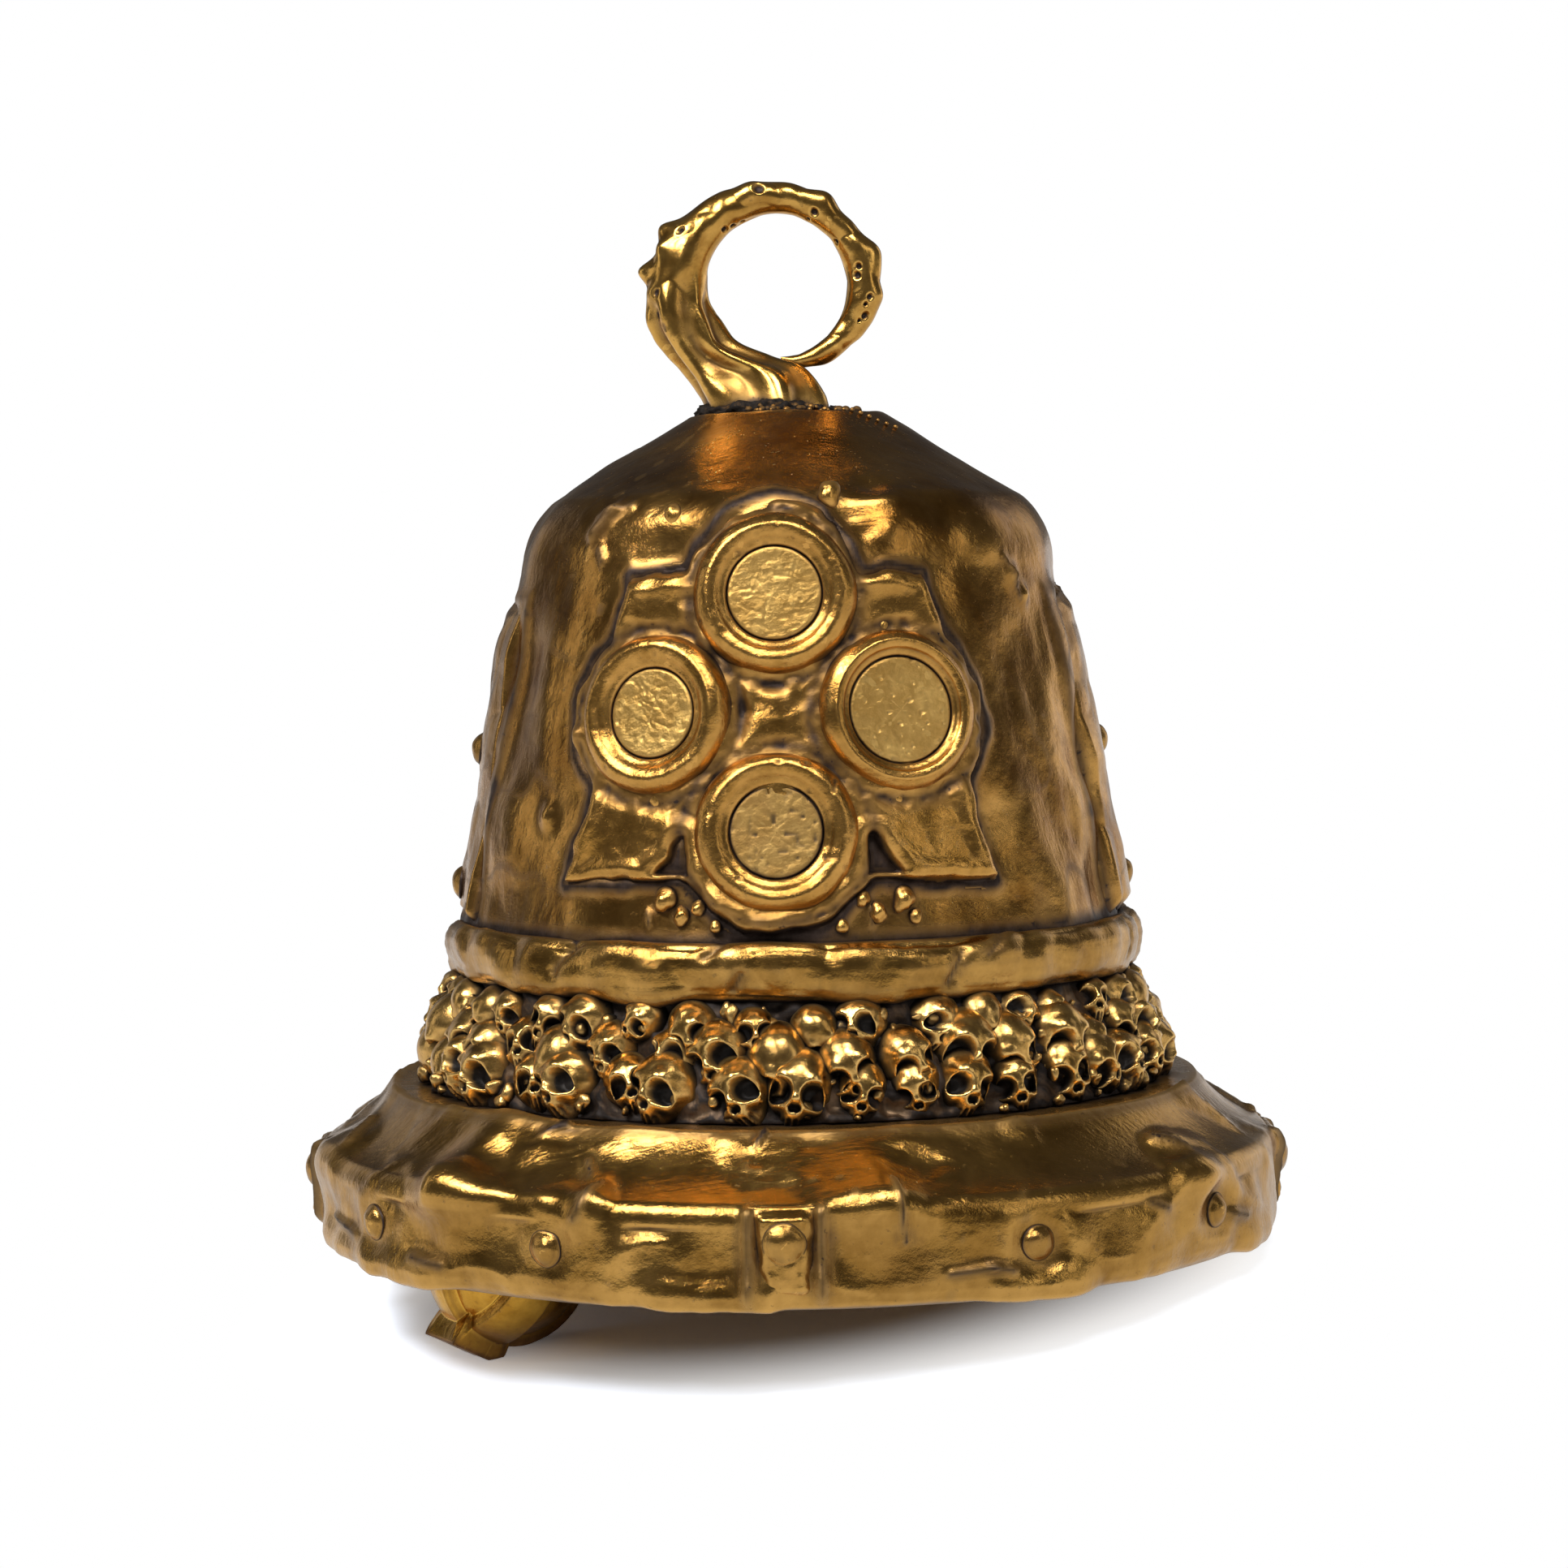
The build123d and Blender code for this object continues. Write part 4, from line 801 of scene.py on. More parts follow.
ring_places = {
    "left": (EMBLEM_AZ - RING_STEP, EMBLEM_Z), "right": (EMBLEM_AZ + RING_STEP, EMBLEM_Z),
    "top": (EMBLEM_AZ, EMBLEM_Z + RING_PITCH), "bottom": (EMBLEM_AZ, EMBLEM_Z - RING_PITCH),
}
RING_SAG_R, RING_POINTS, DISC_POINTS, RIVET_POINTS, TOOL_MARKS = 80.0, 200, 150, 36, 30
for number, (name, (azimuth, z)) in enumerate(ring_places.items()):
    place = tangent_frame(math.radians(azimuth), float(waist_radius(z)), z, WAIST_PITCH)
    hole = DISCS[name]
    middle = (RING_R + hole) / 2
    ring_profile = resample([
        (RING_R - 0.05, -1.9), (RING_R - 0.02, 0.4), (RING_R - 0.12, 1.2), (RING_R - 0.5, 1.95),
        (RING_R - 1.1, 2.42), (middle + 0.3, 2.55), (middle - 0.6, 2.3), (hole + 0.75, 1.9),
        (hole + 0.3, 1.8), (hole + 0.06, 1.66),
        (hole + 0.02, 1.3), (hole + 0.02, -1.9),
    ], 0.17)
    for _ in range(3):  # rounds the ring's corners
        ring_profile[1:-1] = (ring_profile[:-2] + 2 * ring_profile[1:-1] + ring_profile[2:]) / 4

    def ring_relief(x, y, h, r, phi, number=number, hole=hole):
        p = np.stack([x, y, h * 0.5 + 20 * number], -1)
        free = smooth(-0.6, 0.9, h)
        out = smooth(RING_R - 1.0, RING_R - 0.1, r)
        turning = np.stack([np.cos(phi) * 4, np.sin(phi) * 4, 0 * phi + 9 * number], -1)
        wobble = 0.16 * noise(turning, 2.4, 81, 2)
        soft = 0.13 * noise(p, 4.4, 82) + 0.012 * noise(p, 0.9, 83) + 0.1 * (creases(p, 5.0, 84) - 0.3)
        nick = np.clip(noise(p, 0.9, 85) - 0.6, 0, 1) * np.clip(noise(p, 3.0, 86) + 0.1, 0, 1)
        inner_edge = hump(r - hole - 0.05, 0.12)
        outer_edge = smooth(RING_R - 0.35, RING_R - 0.05, r) * smooth(1.3, 0.4, h)
        grime_and_shade = 0.45 * inner_edge + 0.7 * outer_edge + 2 * nick
        return (wobble * out - 0.3 * nick) * free, (soft - 0.9 * nick) * free, grime_and_shade

    verts, grime_and_shade = turned(ring_profile, RING_POINTS, place, ring_relief, RING_SAG_R)
    make_grid_piece(f"ring_{name}", verts, grime_and_shade, ring_brass, f"ring_boss_{name}")
    disc_profile = resample([(0.02, 1.6), (hole * 0.75, 1.63), (hole - 0.25, 1.66), (hole - 0.07, 1.56),
                             (hole, 1.2), (hole, -1.8)], 0.14)
    tarnish = 0.4 if name == "bottom" else 0.0

    def disc_relief(x, y, h, r, phi, number=number, hole=hole, tarnish=tarnish):
        chance = np.random.default_rng(30 + number)
        p = np.stack([x, y, 0 * x + 30 * number], -1)
        tooled = 0.025 * noise(p, 1.6, 91 + number) + 0.02 * noise(p, 0.5, 92)
        for _ in range(TOOL_MARKS):
            tilt = chance.uniform(-1.5, 1.5)
            offset, start = chance.uniform(-hole, hole), chance.uniform(-hole, hole)
            across = x * math.sin(tilt) - y * math.cos(tilt) - offset
            length = x * math.cos(tilt) + y * math.sin(tilt) - start
            tooled = tooled - 0.03 * hump(across, 0.1) * smooth(1.3, 0.5, np.abs(length))
        pits = np.clip(noise(p, 0.55, 93) - 0.55, 0, 1)
        flat = smooth(0.9, 1.4, h)
        grime_and_shade = tarnish + 1.2 * pits * flat + 0.4 * hump(r - hole, 0.12)
        return 0 * x, (tooled - 0.3 * pits) * flat, grime_and_shade

    verts, grime_and_shade = turned(disc_profile, DISC_POINTS, place, disc_relief, RING_SAG_R)
    make_grid_piece(f"inset_{name}", verts, grime_and_shade, disc_brass, f"disc_{name}", wrap_rows=False)


def rivet_heads(places, head_r, rise, seed):
    """Hand-closed rivet heads, each a little uneven, with their edges let into the metal below."""
    parts = []
    chance = np.random.default_rng(seed)
    for place in places:
        dome_r = (head_r**2 + rise**2) / (2 * rise)
        radii = np.linspace(0.02, head_r * 0.96, 10)
        line = [(r, rise - dome_r + math.sqrt(dome_r**2 - r * r)) for r in radii]
        line += [(head_r, 0.1), (head_r, -0.12), (head_r * 0.9, -0.6)]
        lean, seed_at = chance.uniform(-0.06, 0.06, 2), chance.uniform(0, 40)

        def uneven(x, y, h, r, phi, lean=lean, seed_at=seed_at):
            p = np.stack([x, y, h + seed_at], -1)
            dip = smooth(-0.1, 0.3, h)
            spread = 0.12 * noise(p, 1.4, 95) * smooth(0.3, 1.0, r)
            rise_by = (0.08 * noise(p, 1.0, 96) + lean[0] * x + lean[1] * y) * dip
            return spread, rise_by, 0.8 * smooth(0.22, 0.0, h)

        verts, grime_and_shade = turned(line, RIVET_POINTS, place, uneven)
        parts.append((verts, grid_faces(*verts.shape[:2]), grime_and_shade))
    return merge(parts)


rim_places = [tangent_frame(math.radians(a), HOOP_R + 0.02, RIM_RIVET_Z, 0.0) for a in RIM_RIVETS]
strap_places = [tangent_frame(math.radians(a), HOOP_R + 0.75, 6.4, 0.0) for a in STRAPS]
side_places = [tangent_frame(math.radians(a), float(waist_radius(z)) + 1.35, z, WAIST_PITCH)
               for a in PLATE_EDGES for z in (35.4, 49.2)]
RIVET_SETS = (  # name, places, head radius, height of the head
    ("rim_rivets", rim_places, 1.7, 0.95), ("strap_rivets", strap_places, 2.0, 0.95),
    ("side_rivets", side_places, 1.75, 1.15),
)
for name, places, head_r, rise in RIVET_SETS:
    verts, faces, grime_and_shade = rivet_heads(places, head_r, rise, 7)
    make_piece(f"{name}_closed", verts, faces, "bell", rim_cast, [name], grime_and_shade)


# ---------------- plates and straps laid on the surface
def patch(azimuths, heights, base_r, lift, inside, depth, grime_and_shade):
    """Closed shell, and its grime, over the cells of an azimuth by height grid where inside is true."""
    az, z = np.meshgrid(azimuths, heights)
    radius = base_r(z)
    front = polar(az, radius + lift, z)
    behind = polar(az, radius - depth, z)
    rows, columns = az.shape
    cell = inside[:-1, :-1] & inside[1:, :-1] & inside[:-1, 1:] & inside[1:, 1:]
    quads = grid_faces(rows, columns, wrap_columns=False).reshape(rows - 1, columns - 1, 4)
    shift = rows * columns
    faces = [quads[cell], quads[cell][:, ::-1] + shift]
    padded = np.pad(cell, 1)
    for dr, dc, i, j in ((-1, 0, 0, 1), (0, 1, 1, 2), (1, 0, 2, 3), (0, -1, 3, 0)):
        edge = cell & ~padded[1 + dr:rows + dr, 1 + dc:columns + dc]
        q = quads[edge]
        faces.append(np.stack([q[:, j], q[:, i], q[:, i] + shift, q[:, j] + shift], 1))
    faces = np.concatenate(faces)
    verts = np.concatenate([front.reshape(-1, 3), behind.reshape(-1, 3)])
    used = np.unique(faces)
    renumber = np.full(len(verts), -1)
    renumber[used] = np.arange(len(used))
    return verts[used], renumber[faces], np.concatenate([grime_and_shade.ravel(), grime_and_shade.ravel()])[used]


# the front plate: a barbed quatrefoil, with cast pellets round it
PLATE_DEPTH, STRAP_DEPTH = 0.9, 0.8
PELLETS = (  # azimuth in degrees, height, size
    (-21.5, 35.6, 0.9), (-18.5, 34.2, 0.75), (-15.5, 35.0, 0.6), (14, 34.3, 0.8), (18.5, 35.4, 0.9),
    (11.5, 35.6, 0.6), (20.5, 33.9, 0.55), (-23.5, 45.3, 1.0), (18.2, 61.0, 0.9), (-23.0, 61.2, 0.95),
    (17.8, 45.0, 0.95), (-12.5, 33.3, 0.5), (8.0, 33.2, 0.55), (-25.2, 72.0, 0.8), (9.5, 73.6, 1.0),
)
azimuths = np.radians(np.linspace(EMBLEM_AZ - 41, EMBLEM_AZ + 41, 252))
heights = np.linspace(32.6, 74.2, 236)
az, z = np.meshgrid(azimuths, heights)
u, v = (az - math.radians(EMBLEM_AZ)) * EMBLEM_R, z - EMBLEM_Z
place = polar(az, waist_radius(z), z)
distance = emblem_distance(az, z)
rise = smooth(0.35, -0.35, distance)
folds = creases(place * np.array([1.0, 1.0, 0.45]), 4.2, 102)
top_lobe = np.exp(-((u / 9) ** 2) - (((v - 20.5) / 3.2) ** 2))
skin, skin_grime = skin_relief(az, z, waist_radius(z))
rolled = hump(distance + 1.1, 0.75)
raised = 1.35 + 0.34 * rolled + 0.26 * (folds - 0.3) + 0.22 * noise(place, 3.4, 103, 2)
lift = np.where(rise > 0.01, skin * 0.6 + rise * raised + 0.9 * rise * top_lobe * noise(place, 2.6, 104),
                skin * 0.6 - 0.35)
grime_and_shade = 1.1 * hump(distance - 0.55, 0.5) + skin_grime * 0.5
crust = np.zeros_like(u)
for du, dv in LOBES:
    crust = np.maximum(crust, hump(np.hypot(u - du, v - dv) - 8.3, 0.75))
lift = lift + crust * rise * (0.4 * noise(place, 2.3, 105, 2) - 0.25)
grime_and_shade += crust * (0.6 + 0.3 * noise(place, 1.6, 106))
verts, faces, grime_and_shade = patch(azimuths, heights, waist_radius, lift, distance < 1.1, PLATE_DEPTH, grime_and_shade)
parts = [(verts, triangles(faces), grime_and_shade)]
for a, height, size in PELLETS:
    origin, axes = tangent_frame(math.radians(a), float(waist_radius(height)) + 0.15, height, WAIST_PITCH)
    lump = CRUMB * (1 + 0.3 * noise(CRUMB + height, 0.9, 6)[:, None]) * size * np.array([1.15, 1.35, 0.85])
    parts.append((origin + lump @ axes, CRUMB_FACES, np.clip(0.6 - 0.8 * CRUMB[:, 2], 0, 1)))
verts, faces, grime_and_shade = merge(parts)
make_piece("barbed_plate", verts, faces, "bell", ring_brass, ["front_plate"], grime_and_shade)

# side plates
for side, name in ((-1, "left"), (1, "right")):
    middle = math.radians(PLATE_EDGES[0] if side < 0 else PLATE_EDGES[1])
    azimuths = middle + np.linspace(-0.56, 0.56, 130)
    heights = np.linspace(BAND_TOP_Z + 0.05, 66.2, 150)
    az, z = np.meshgrid(azimuths, heights)
    radius = waist_radius(z)
    place = polar(az, radius, z)
    u, v = np.tan(np.clip(az - middle, -1.2, 1.2)) * radius, z - PLATE_MIDDLE_Z
    edge = 0.7 * noise(place * np.array([1, 1, 0.6]), 4.0, 110 + side, 2)
    distance = np.maximum(np.abs(u) - PLATE_HALF_WIDTH, np.abs(v) - PLATE_HALF_HEIGHT) + 0.4 + edge
    rise = smooth(0.6, -1.1, distance)
    skin, skin_grime = skin_relief(az, z, radius)
    lift = skin * 0.8 + rise * (1.3 - 0.7 * smooth(58, 65, z) + 0.3 * (creases(place, 6.0, 112) - 0.4))
    lift = np.where(distance > 0.6, skin * 0.6 - 0.35, lift)
    grime_and_shade = 0.8 * hump(distance - 0.4, 0.5) + skin_grime * 0.6
    verts, faces, grime_and_shade = patch(azimuths, heights, waist_radius, lift, distance < 1.0, PLATE_DEPTH, grime_and_shade)
    make_piece(f"side_plate_{name}_beaten", verts, faces, "bell", cast,
               [f"side_plate_{name}"], grime_and_shade)

# rim straps
for name, azimuth in zip(("front", "right", "back", "left"), STRAPS):
    azimuths = math.radians(azimuth) + np.linspace(-3.7, 3.7, 60) / HOOP_R
    heights = np.linspace(1.2, 9.7, 70)
    az, z = np.meshgrid(azimuths, heights)
    u, v = (az - math.radians(azimuth)) * HOOP_R, z - 5.5
    place = polar(az, HOOP_R, z)
    distance = np.abs(u) - 2.45 + 0.3 * noise(place, 2.6, 121, 2)
    ends = smooth(4.25, 3.0, np.abs(v + 0.1))
    lift = (smooth(0.5, -1.1, distance) * (0.95 + 0.16 * noise(place, 2.0, 122, 2)) + 0.12) * ends - 0.22
    grime_and_shade = 0.9 * hump(distance - 0.3, 0.4) * smooth(4.2, 3.4, np.abs(v))
    verts, faces, grime_and_shade = patch(azimuths, heights, lambda h: np.full_like(h, HOOP_R), lift,
                                (distance < 0.7) & (ends > 0), STRAP_DEPTH, grime_and_shade)
    make_piece(f"strap_{name}", verts, faces, "bell", rim_cast, [f"rim_strap_{name}"], grime_and_shade)


# ---------------- crown loop: a curled horn on a fluted stem
EYE, EYE_R = (-0.6, 95.8), 7.15
# Angle round the eye in degrees, thickness.
HORN = (
    (-88, 0.25), (-80, 1.1), (-66, 1.9), (-48, 2.5), (-25, 3.1), (0, 3.5), (25, 3.3), (45, 3.15), (70, 3.3),
    (90, 3.45), (115, 3.8), (138, 4.5), (158, 5.4), (180, 5.9), (200, 6.3),
)
STEM = (  # outer edge, inner edge, half depth
    ((-11.7, 89.2), (-5.6, 90.5), 3.25), ((-10.1, 87.3), (-2.2, 88.75), 3.6),
    ((-9.0, 85.6), (1.6, 87.5), 4.4), ((-8.1, 83.9), (3.7, 84.9), 5.3), ((-7.8, 82.0), (4.9, 82.0), 6.0),
)
knots = []
for angle, thick in HORN:
    c, s = math.cos(math.radians(angle)), math.sin(math.radians(angle))
    inner = (EYE[0] + EYE_R * c, EYE[1] + EYE_R * s)
    outer = (EYE[0] + (EYE_R + thick) * c, EYE[1] + (EYE_R + thick) * s)
    knots.append((*outer, *inner, thick / 2))
knots += [(*outer, *inner, half_depth) for outer, inner, half_depth in STEM]
knots = np.array(knots)
steps = np.diff((knots[:, :2] + knots[:, 2:4]) / 2, axis=0)
run = np.concatenate([[0], np.cumsum(np.linalg.norm(steps, axis=1))])
along = np.linspace(0, run[-1], 430)


def through(values, at):
    """Smooth curve through the knots' values."""
    slope = np.gradient(values, run)
    i = np.clip(np.searchsorted(run, at) - 1, 0, len(run) - 2)
    gap = run[i + 1] - run[i]
    t = (at - run[i]) / gap
    return ((2 * t**3 - 3 * t**2 + 1) * values[i] + (t**3 - 2 * t**2 + t) * gap * slope[i]
            + (3 * t**2 - 2 * t**3) * values[i + 1] + (t**3 - t**2) * gap * slope[i + 1])


outer = np.stack([through(knots[:, 0], along), through(knots[:, 1], along)], 1)
inner = np.stack([through(knots[:, 2], along), through(knots[:, 3], along)], 1)
half_depth = through(knots[:, 4], along)
centre, half = (outer + inner) / 2, (outer - inner) / 2
AROUND = 96
phi = np.arange(AROUND) * TAU / AROUND
cos_phi, sin_phi = np.cos(phi)[None, :], np.sin(phi)[None, :]
half_len = np.linalg.norm(half, axis=1)
x = centre[:, :1] + half[:, :1] * cos_phi
z = centre[:, 1:] + half[:, 1:] * cos_phi
y = -half_depth[:, None] * sin_phi
points = np.stack([x, y, z], -1)
stem_start = run[len(HORN) - 1]
on_stem = smooth(stem_start - 6, stem_start + 4, along)[:, None]
thickness = np.minimum(half_len, half_depth)[:, None]
bumps = 0.24 * noise(points, 3.4, 201) + 0.3 * (creases(points, 4.2, 202) - 0.3) * (1 - 0.5 * on_stem)
twist = 6 * phi[None, :] + 0.16 * (along[:, None] - stem_start) + 1.1 * noise(points, 6.0, 203)
flutes = on_stem * (0.6 * np.cos(twist) - 0.1)
ring_angle = np.degrees(np.arctan2(points[..., 2] - EYE[1], points[..., 0] - EYE[0])) % 360


def horn_distance(angle, turn, r):
    """Distance on the horn from a place at an angle round the eye and a turn round the horn."""
    gap = (ring_angle - angle + 180) % 360 - 180
    swing = (phi[None, :] - turn + math.pi) % TAU - math.pi
    return np.hypot(np.radians(gap) * r, swing * half_len[:, None])


KNOBS = (  # angle round the eye in degrees, height, size, turn round the horn
    (152, 1.1, 1.05, 0.0), (161, 0.6, 0.9, 0.5), (173, 1.35, 0.95, -0.1), (183, 0.7, 1.0, 0.5),
    (195, 0.7, 1.2, 0.1), (60, 0.5, 1.4, 0.3), (20, 0.5, 1.3, 0.0), (104, 0.35, 1.2, 0.6),
    (-6, 0.35, 1.2, 0.4),
)
HOLES = (  # angle round the eye in degrees, turn round the horn, size
    (-8, 1.2, 0.28), (-13, 1.35, 0.2), (-20, 1.1, 0.34), (-24, 1.3, 0.18), (6, 2.0, 0.4), (12, 1.8, 0.32),
    (193, 0.7, 0.4), (200, 0.95, 0.34), (183, 0.8, 0.3), (150, 0.9, 0.3), (100, 1.0, 0.5), (62, 1.9, 0.4),
)
KNOB_RING_R, HOLE_RING_R, STRAY_HOLES = 11.0, 9.0, 22
chance = np.random.default_rng(5)
strays = [(chance.uniform(-30, 200), chance.uniform(2.4, 6.2), chance.uniform(0.2, 0.42))
          for _ in range(STRAY_HOLES)]
knobs, holes = np.zeros_like(x), np.zeros_like(x)
for angle, tall, size, turn in KNOBS:
    knobs += tall * hump(horn_distance(angle, turn, KNOB_RING_R), size) * (1 - on_stem)
for angle, turn, size in (*HOLES, *strays):
    hole = np.exp(-((horn_distance(angle, turn, HOLE_RING_R) / size) ** 4))
    holes = np.maximum(holes, hole * (1 - on_stem))
scale = smooth(0.0, 1.3, thickness)
lift = (bumps + flutes + knobs - 0.4 * holes) * scale * smooth(run[-1], run[-1] - 1.0, along)[:, None]
inward = smooth(-0.3, -0.9, cos_phi) * (1 - on_stem)
lift = np.where(lift < 0, lift, lift * (1 - 0.7 * inward))
normal_x, normal_z = (half[:, i:i + 1] * cos_phi / half_len[:, None] for i in (0, 1))
normal = np.stack([normal_x, -sin_phi + 0 * x, normal_z], -1)
points = points + normal * lift[..., None]
foot_middle = np.array([centre[-1, 0], 0, STEM[-1][0][1]])
foot_rings = [points[-1] * (1 - k) + foot_middle * k for k in (0.5, 0.98)]
points = np.concatenate([points, foot_rings])
near_foot = smooth(85.4, 83.0, points[..., 2]) * (0.5 + 0.5 * noise(points, 1.6, 204, 2))
groove = smooth(0.1, -0.35, np.pad(flutes, ((0, 2), (0, 0)), mode="edge"))
grime_and_shade = np.pad(0.95 * holes, ((0, 2), (0, 0))) + 0.85 * near_foot + 0.35 * groove
make_piece("horn_loop", points, grid_faces(*points.shape[:2], flip=True), "bell", horn_brass,
           ["crown_loop"], grime_and_shade)

# braze round the foot, with spatter
FOOT_X, FOOT_R = -1.4, 6.35
turns, rounds = np.linspace(0, TAU, 260, endpoint=False), np.arange(28) * TAU / 28
a, b = np.meshgrid(turns, rounds, indexing="ij")
front_heavy = 0.5 + 0.5 * np.cos(a + 0.35)
turning = np.stack([np.cos(a) * 6, np.sin(a) * 6, 0 * a], -1)
thick = 0.62 + 0.42 * front_heavy + 0.22 * noise(turning, 2.2, 211, 2)
base = np.stack([FOOT_X + FOOT_R * np.sin(a), -FOOT_R * np.cos(a), CROWN_Z + 0.1 + 0 * a], -1)
out = np.stack([np.sin(a), -np.cos(a), 0 * a], -1)
rise_up = np.array([0, 0, 1])
crumbled = base + out * np.cos(b)[..., None] * 2 + rise_up * np.sin(b)[..., None] * 2
crust = 1 + 0.42 * noise(crumbled, 0.8, 212, 2)
wide, tall = thick * crust * 1.15 * np.cos(b), thick * crust * 0.85 * np.sin(b)
points = base + out * wide[..., None] + rise_up * tall[..., None]
parts = [(points, triangles(grid_faces(*points.shape[:2], wrap_rows=True)), 0.75)]
NEAR_DROPS, TRAIL_DROPS, SIDE_DROPS = 46, 10, 14


def drops(count, azimuths, radii, sizes):
    """Spatter as (azimuth in radians, distance from the foot's middle, size), each drawn from a range."""
    return [(chance.uniform(*azimuths), chance.uniform(*radii), chance.uniform(*sizes)) for _ in range(count)]


droplets = drops(NEAR_DROPS, (-0.35, 0.75), (6.4, 8.6), (0.2, 0.42))
droplets += [(0.62 + 0.05 * i, 8.6 + 0.62 * i, chance.uniform(0.16, 0.26)) for i in range(TRAIL_DROPS)]
droplets += drops(SIDE_DROPS, (1.1, 1.9), (7.4, 9.2), (0.3, 0.55))
for azimuth, r, size in droplets:
    x, y = FOOT_X + r * math.sin(azimuth), -r * math.cos(azimuth)
    radius = math.hypot(x, y)
    height = float(np.interp(radius, (CROWN_R, SHOULDER[1][0]), (CROWN_Z, SHOULDER[1][1])))
    height += size * 0.35 + (0.35 if r < 7.4 else 0)
    parts.append((CRUMB * size + np.array([x, y, height]), CRUMB_FACES, 0.0 if size < 0.36 else 0.6))
verts, faces, grime_and_shade = merge(parts)
make_piece("braze_crust", verts, faces, "bell", braze, ["braze_bead"], grime_and_shade)

# ---------------- clapper knop: a strapped ball with a block foot
swing = joints["clapper_swing"]
swing_axis = TO_BELL.to_3x3() @ Vector(swing["axis"])
half_swing = math.radians(swing["range_deg"][1]) / 2
hang = Matrix.Rotation(-half_swing, 3, swing_axis) @ Vector((0, 0, -1))
PIVOT_Z, REACH, BALL_R, FOOT_END = 62.0, math.hypot(33.1, 62.5), 8.6, 10.0
ball_centre = np.array((0, 0, PIVOT_Z)) + np.array(hang) * REACH
across = Vector(swing_axis).normalized()
fore = Vector(hang).cross(across)
knop_axes = np.stack([np.array(across), np.array(fore), np.array(hang)])


def bevelled(x, half_width, bevel):
    return np.clip((half_width + bevel - np.abs(x)) / bevel, 0, 1)


lat = np.linspace(0.0, math.pi, 250)
lon = np.arange(360) * TAU / 360
t, l = np.meshgrid(lat, lon, indexing="ij")
d = np.stack([np.sin(t) * np.cos(l), np.sin(t) * np.sin(l), np.cos(t)], -1)
q = d * BALL_R
STRAP_HALF, GIRDLE_HALF, FOOT_HALF = 2.0, 1.9, 2.3
off_x, off_y = q[..., 0] + 0.6, q[..., 1] - 0.4
strap = np.maximum(bevelled(off_x, STRAP_HALF, 0.7), bevelled(off_y, STRAP_HALF, 0.7))
girdle = bevelled(q[..., 2] + 1.2, GIRDLE_HALF, 0.6)
facet = np.maximum(strap, girdle)
radius = BALL_R - 1.15 + 1.05 * facet
polygon = np.abs(np.cos(4 * l + 0.4)) * 0.16 * np.sin(t) ** 2
radius = radius - polygon * (1 - facet)
square = np.maximum(np.abs(off_x), np.abs(off_y))
foot = bevelled(square, FOOT_HALF, 0.8) * (d[..., 2] > 0)
plane_end = (FOOT_END - 0.1) / np.maximum(d[..., 2], 0.3)
radius = np.where(foot > 0, radius + (plane_end - radius) * foot, radius)
radius += 0.05 * noise(q, 2.4, 221, 2)
knop = ball_centre + (d * radius[..., None]) @ knop_axes
plumb = np.array(TO_BELL.to_3x3() @ Vector((0, 0, 1)))
standing = knop @ plumb + mouth_centre.z / MM
knop = knop + np.maximum(0.0, GAP - standing)[..., None] * plumb  # worn flat where it stands
seam = hump(np.abs(off_x) - FOOT_HALF, 0.16) + hump(np.abs(off_y) - FOOT_HALF, 0.16)
make_piece("clapper_knop", knop, grid_faces(*knop.shape[:2]), "clapper", bright_brass,
           ["clapper_head"], 0.35 * np.clip(seam, 0, 1) * (t < 2.4))

# ---------------- turned and drawn pieces inside, kept as built
KEPT = ("clapper_rod", "clapper_pin", "swivel_clevis", "swivel_pin", "hanger_washer", "hanger_nut",
        "hanger_screw")
for node_name in KEPT:
    kept = bpy.data.objects[node_name]
    kept.data.materials.clear()
    kept.data.materials.append(inside_brass)


# ---------------- camera, floor and light
def bell_to_row(point):
    return TO_ROW @ (Vector(point) * MM)


camera_data = bpy.data.cameras.new("camera")
camera = bpy.data.objects.new("camera", camera_data)
bpy.context.scene.collection.objects.link(camera)
CAMERA_AT, CAMERA_AIM, CAMERA_ROLL = (0.0, -353.0, 62.0), (-0.7, 0.0, 45.0), -0.9
eye, aim = bell_to_row(CAMERA_AT), bell_to_row(CAMERA_AIM)
forward = (aim - eye).normalized()
side = forward.cross(up).normalized()
top = side.cross(forward)
roll = math.radians(CAMERA_ROLL)
side, top = side * math.cos(roll) + top * math.sin(roll), top * math.cos(roll) - side * math.sin(roll)
camera.matrix_world = Matrix.Translation(eye) @ Matrix((side, top, -forward)).transposed().to_4x4()
camera_data.sensor_width, camera_data.lens = 36.0, 79.0
camera_data.clip_start, camera_data.clip_end = 0.01, 20.0
bpy.context.scene.camera = camera

FLOOR = 3.0
floor_mesh = bpy.data.meshes.new("floor")
floor_corners = [(x * FLOOR, y * FLOOR, 0) for x, y in ((-1, -1), (1, -1), (1, 1), (-1, 1))]
floor_mesh.from_pydata(floor_corners, [], [(0, 1, 2, 3)])
floor = bpy.data.objects.new("floor", floor_mesh)
bpy.context.scene.collection.objects.link(floor)


def new_nodes(owner, *kinds):
    """The owner's node tree, emptied, and a new shader node of each kind in it."""
    owner.use_nodes = True
    owner.node_tree.nodes.clear()
    return owner.node_tree, [owner.node_tree.nodes.new(f"ShaderNode{kind}") for kind in kinds]


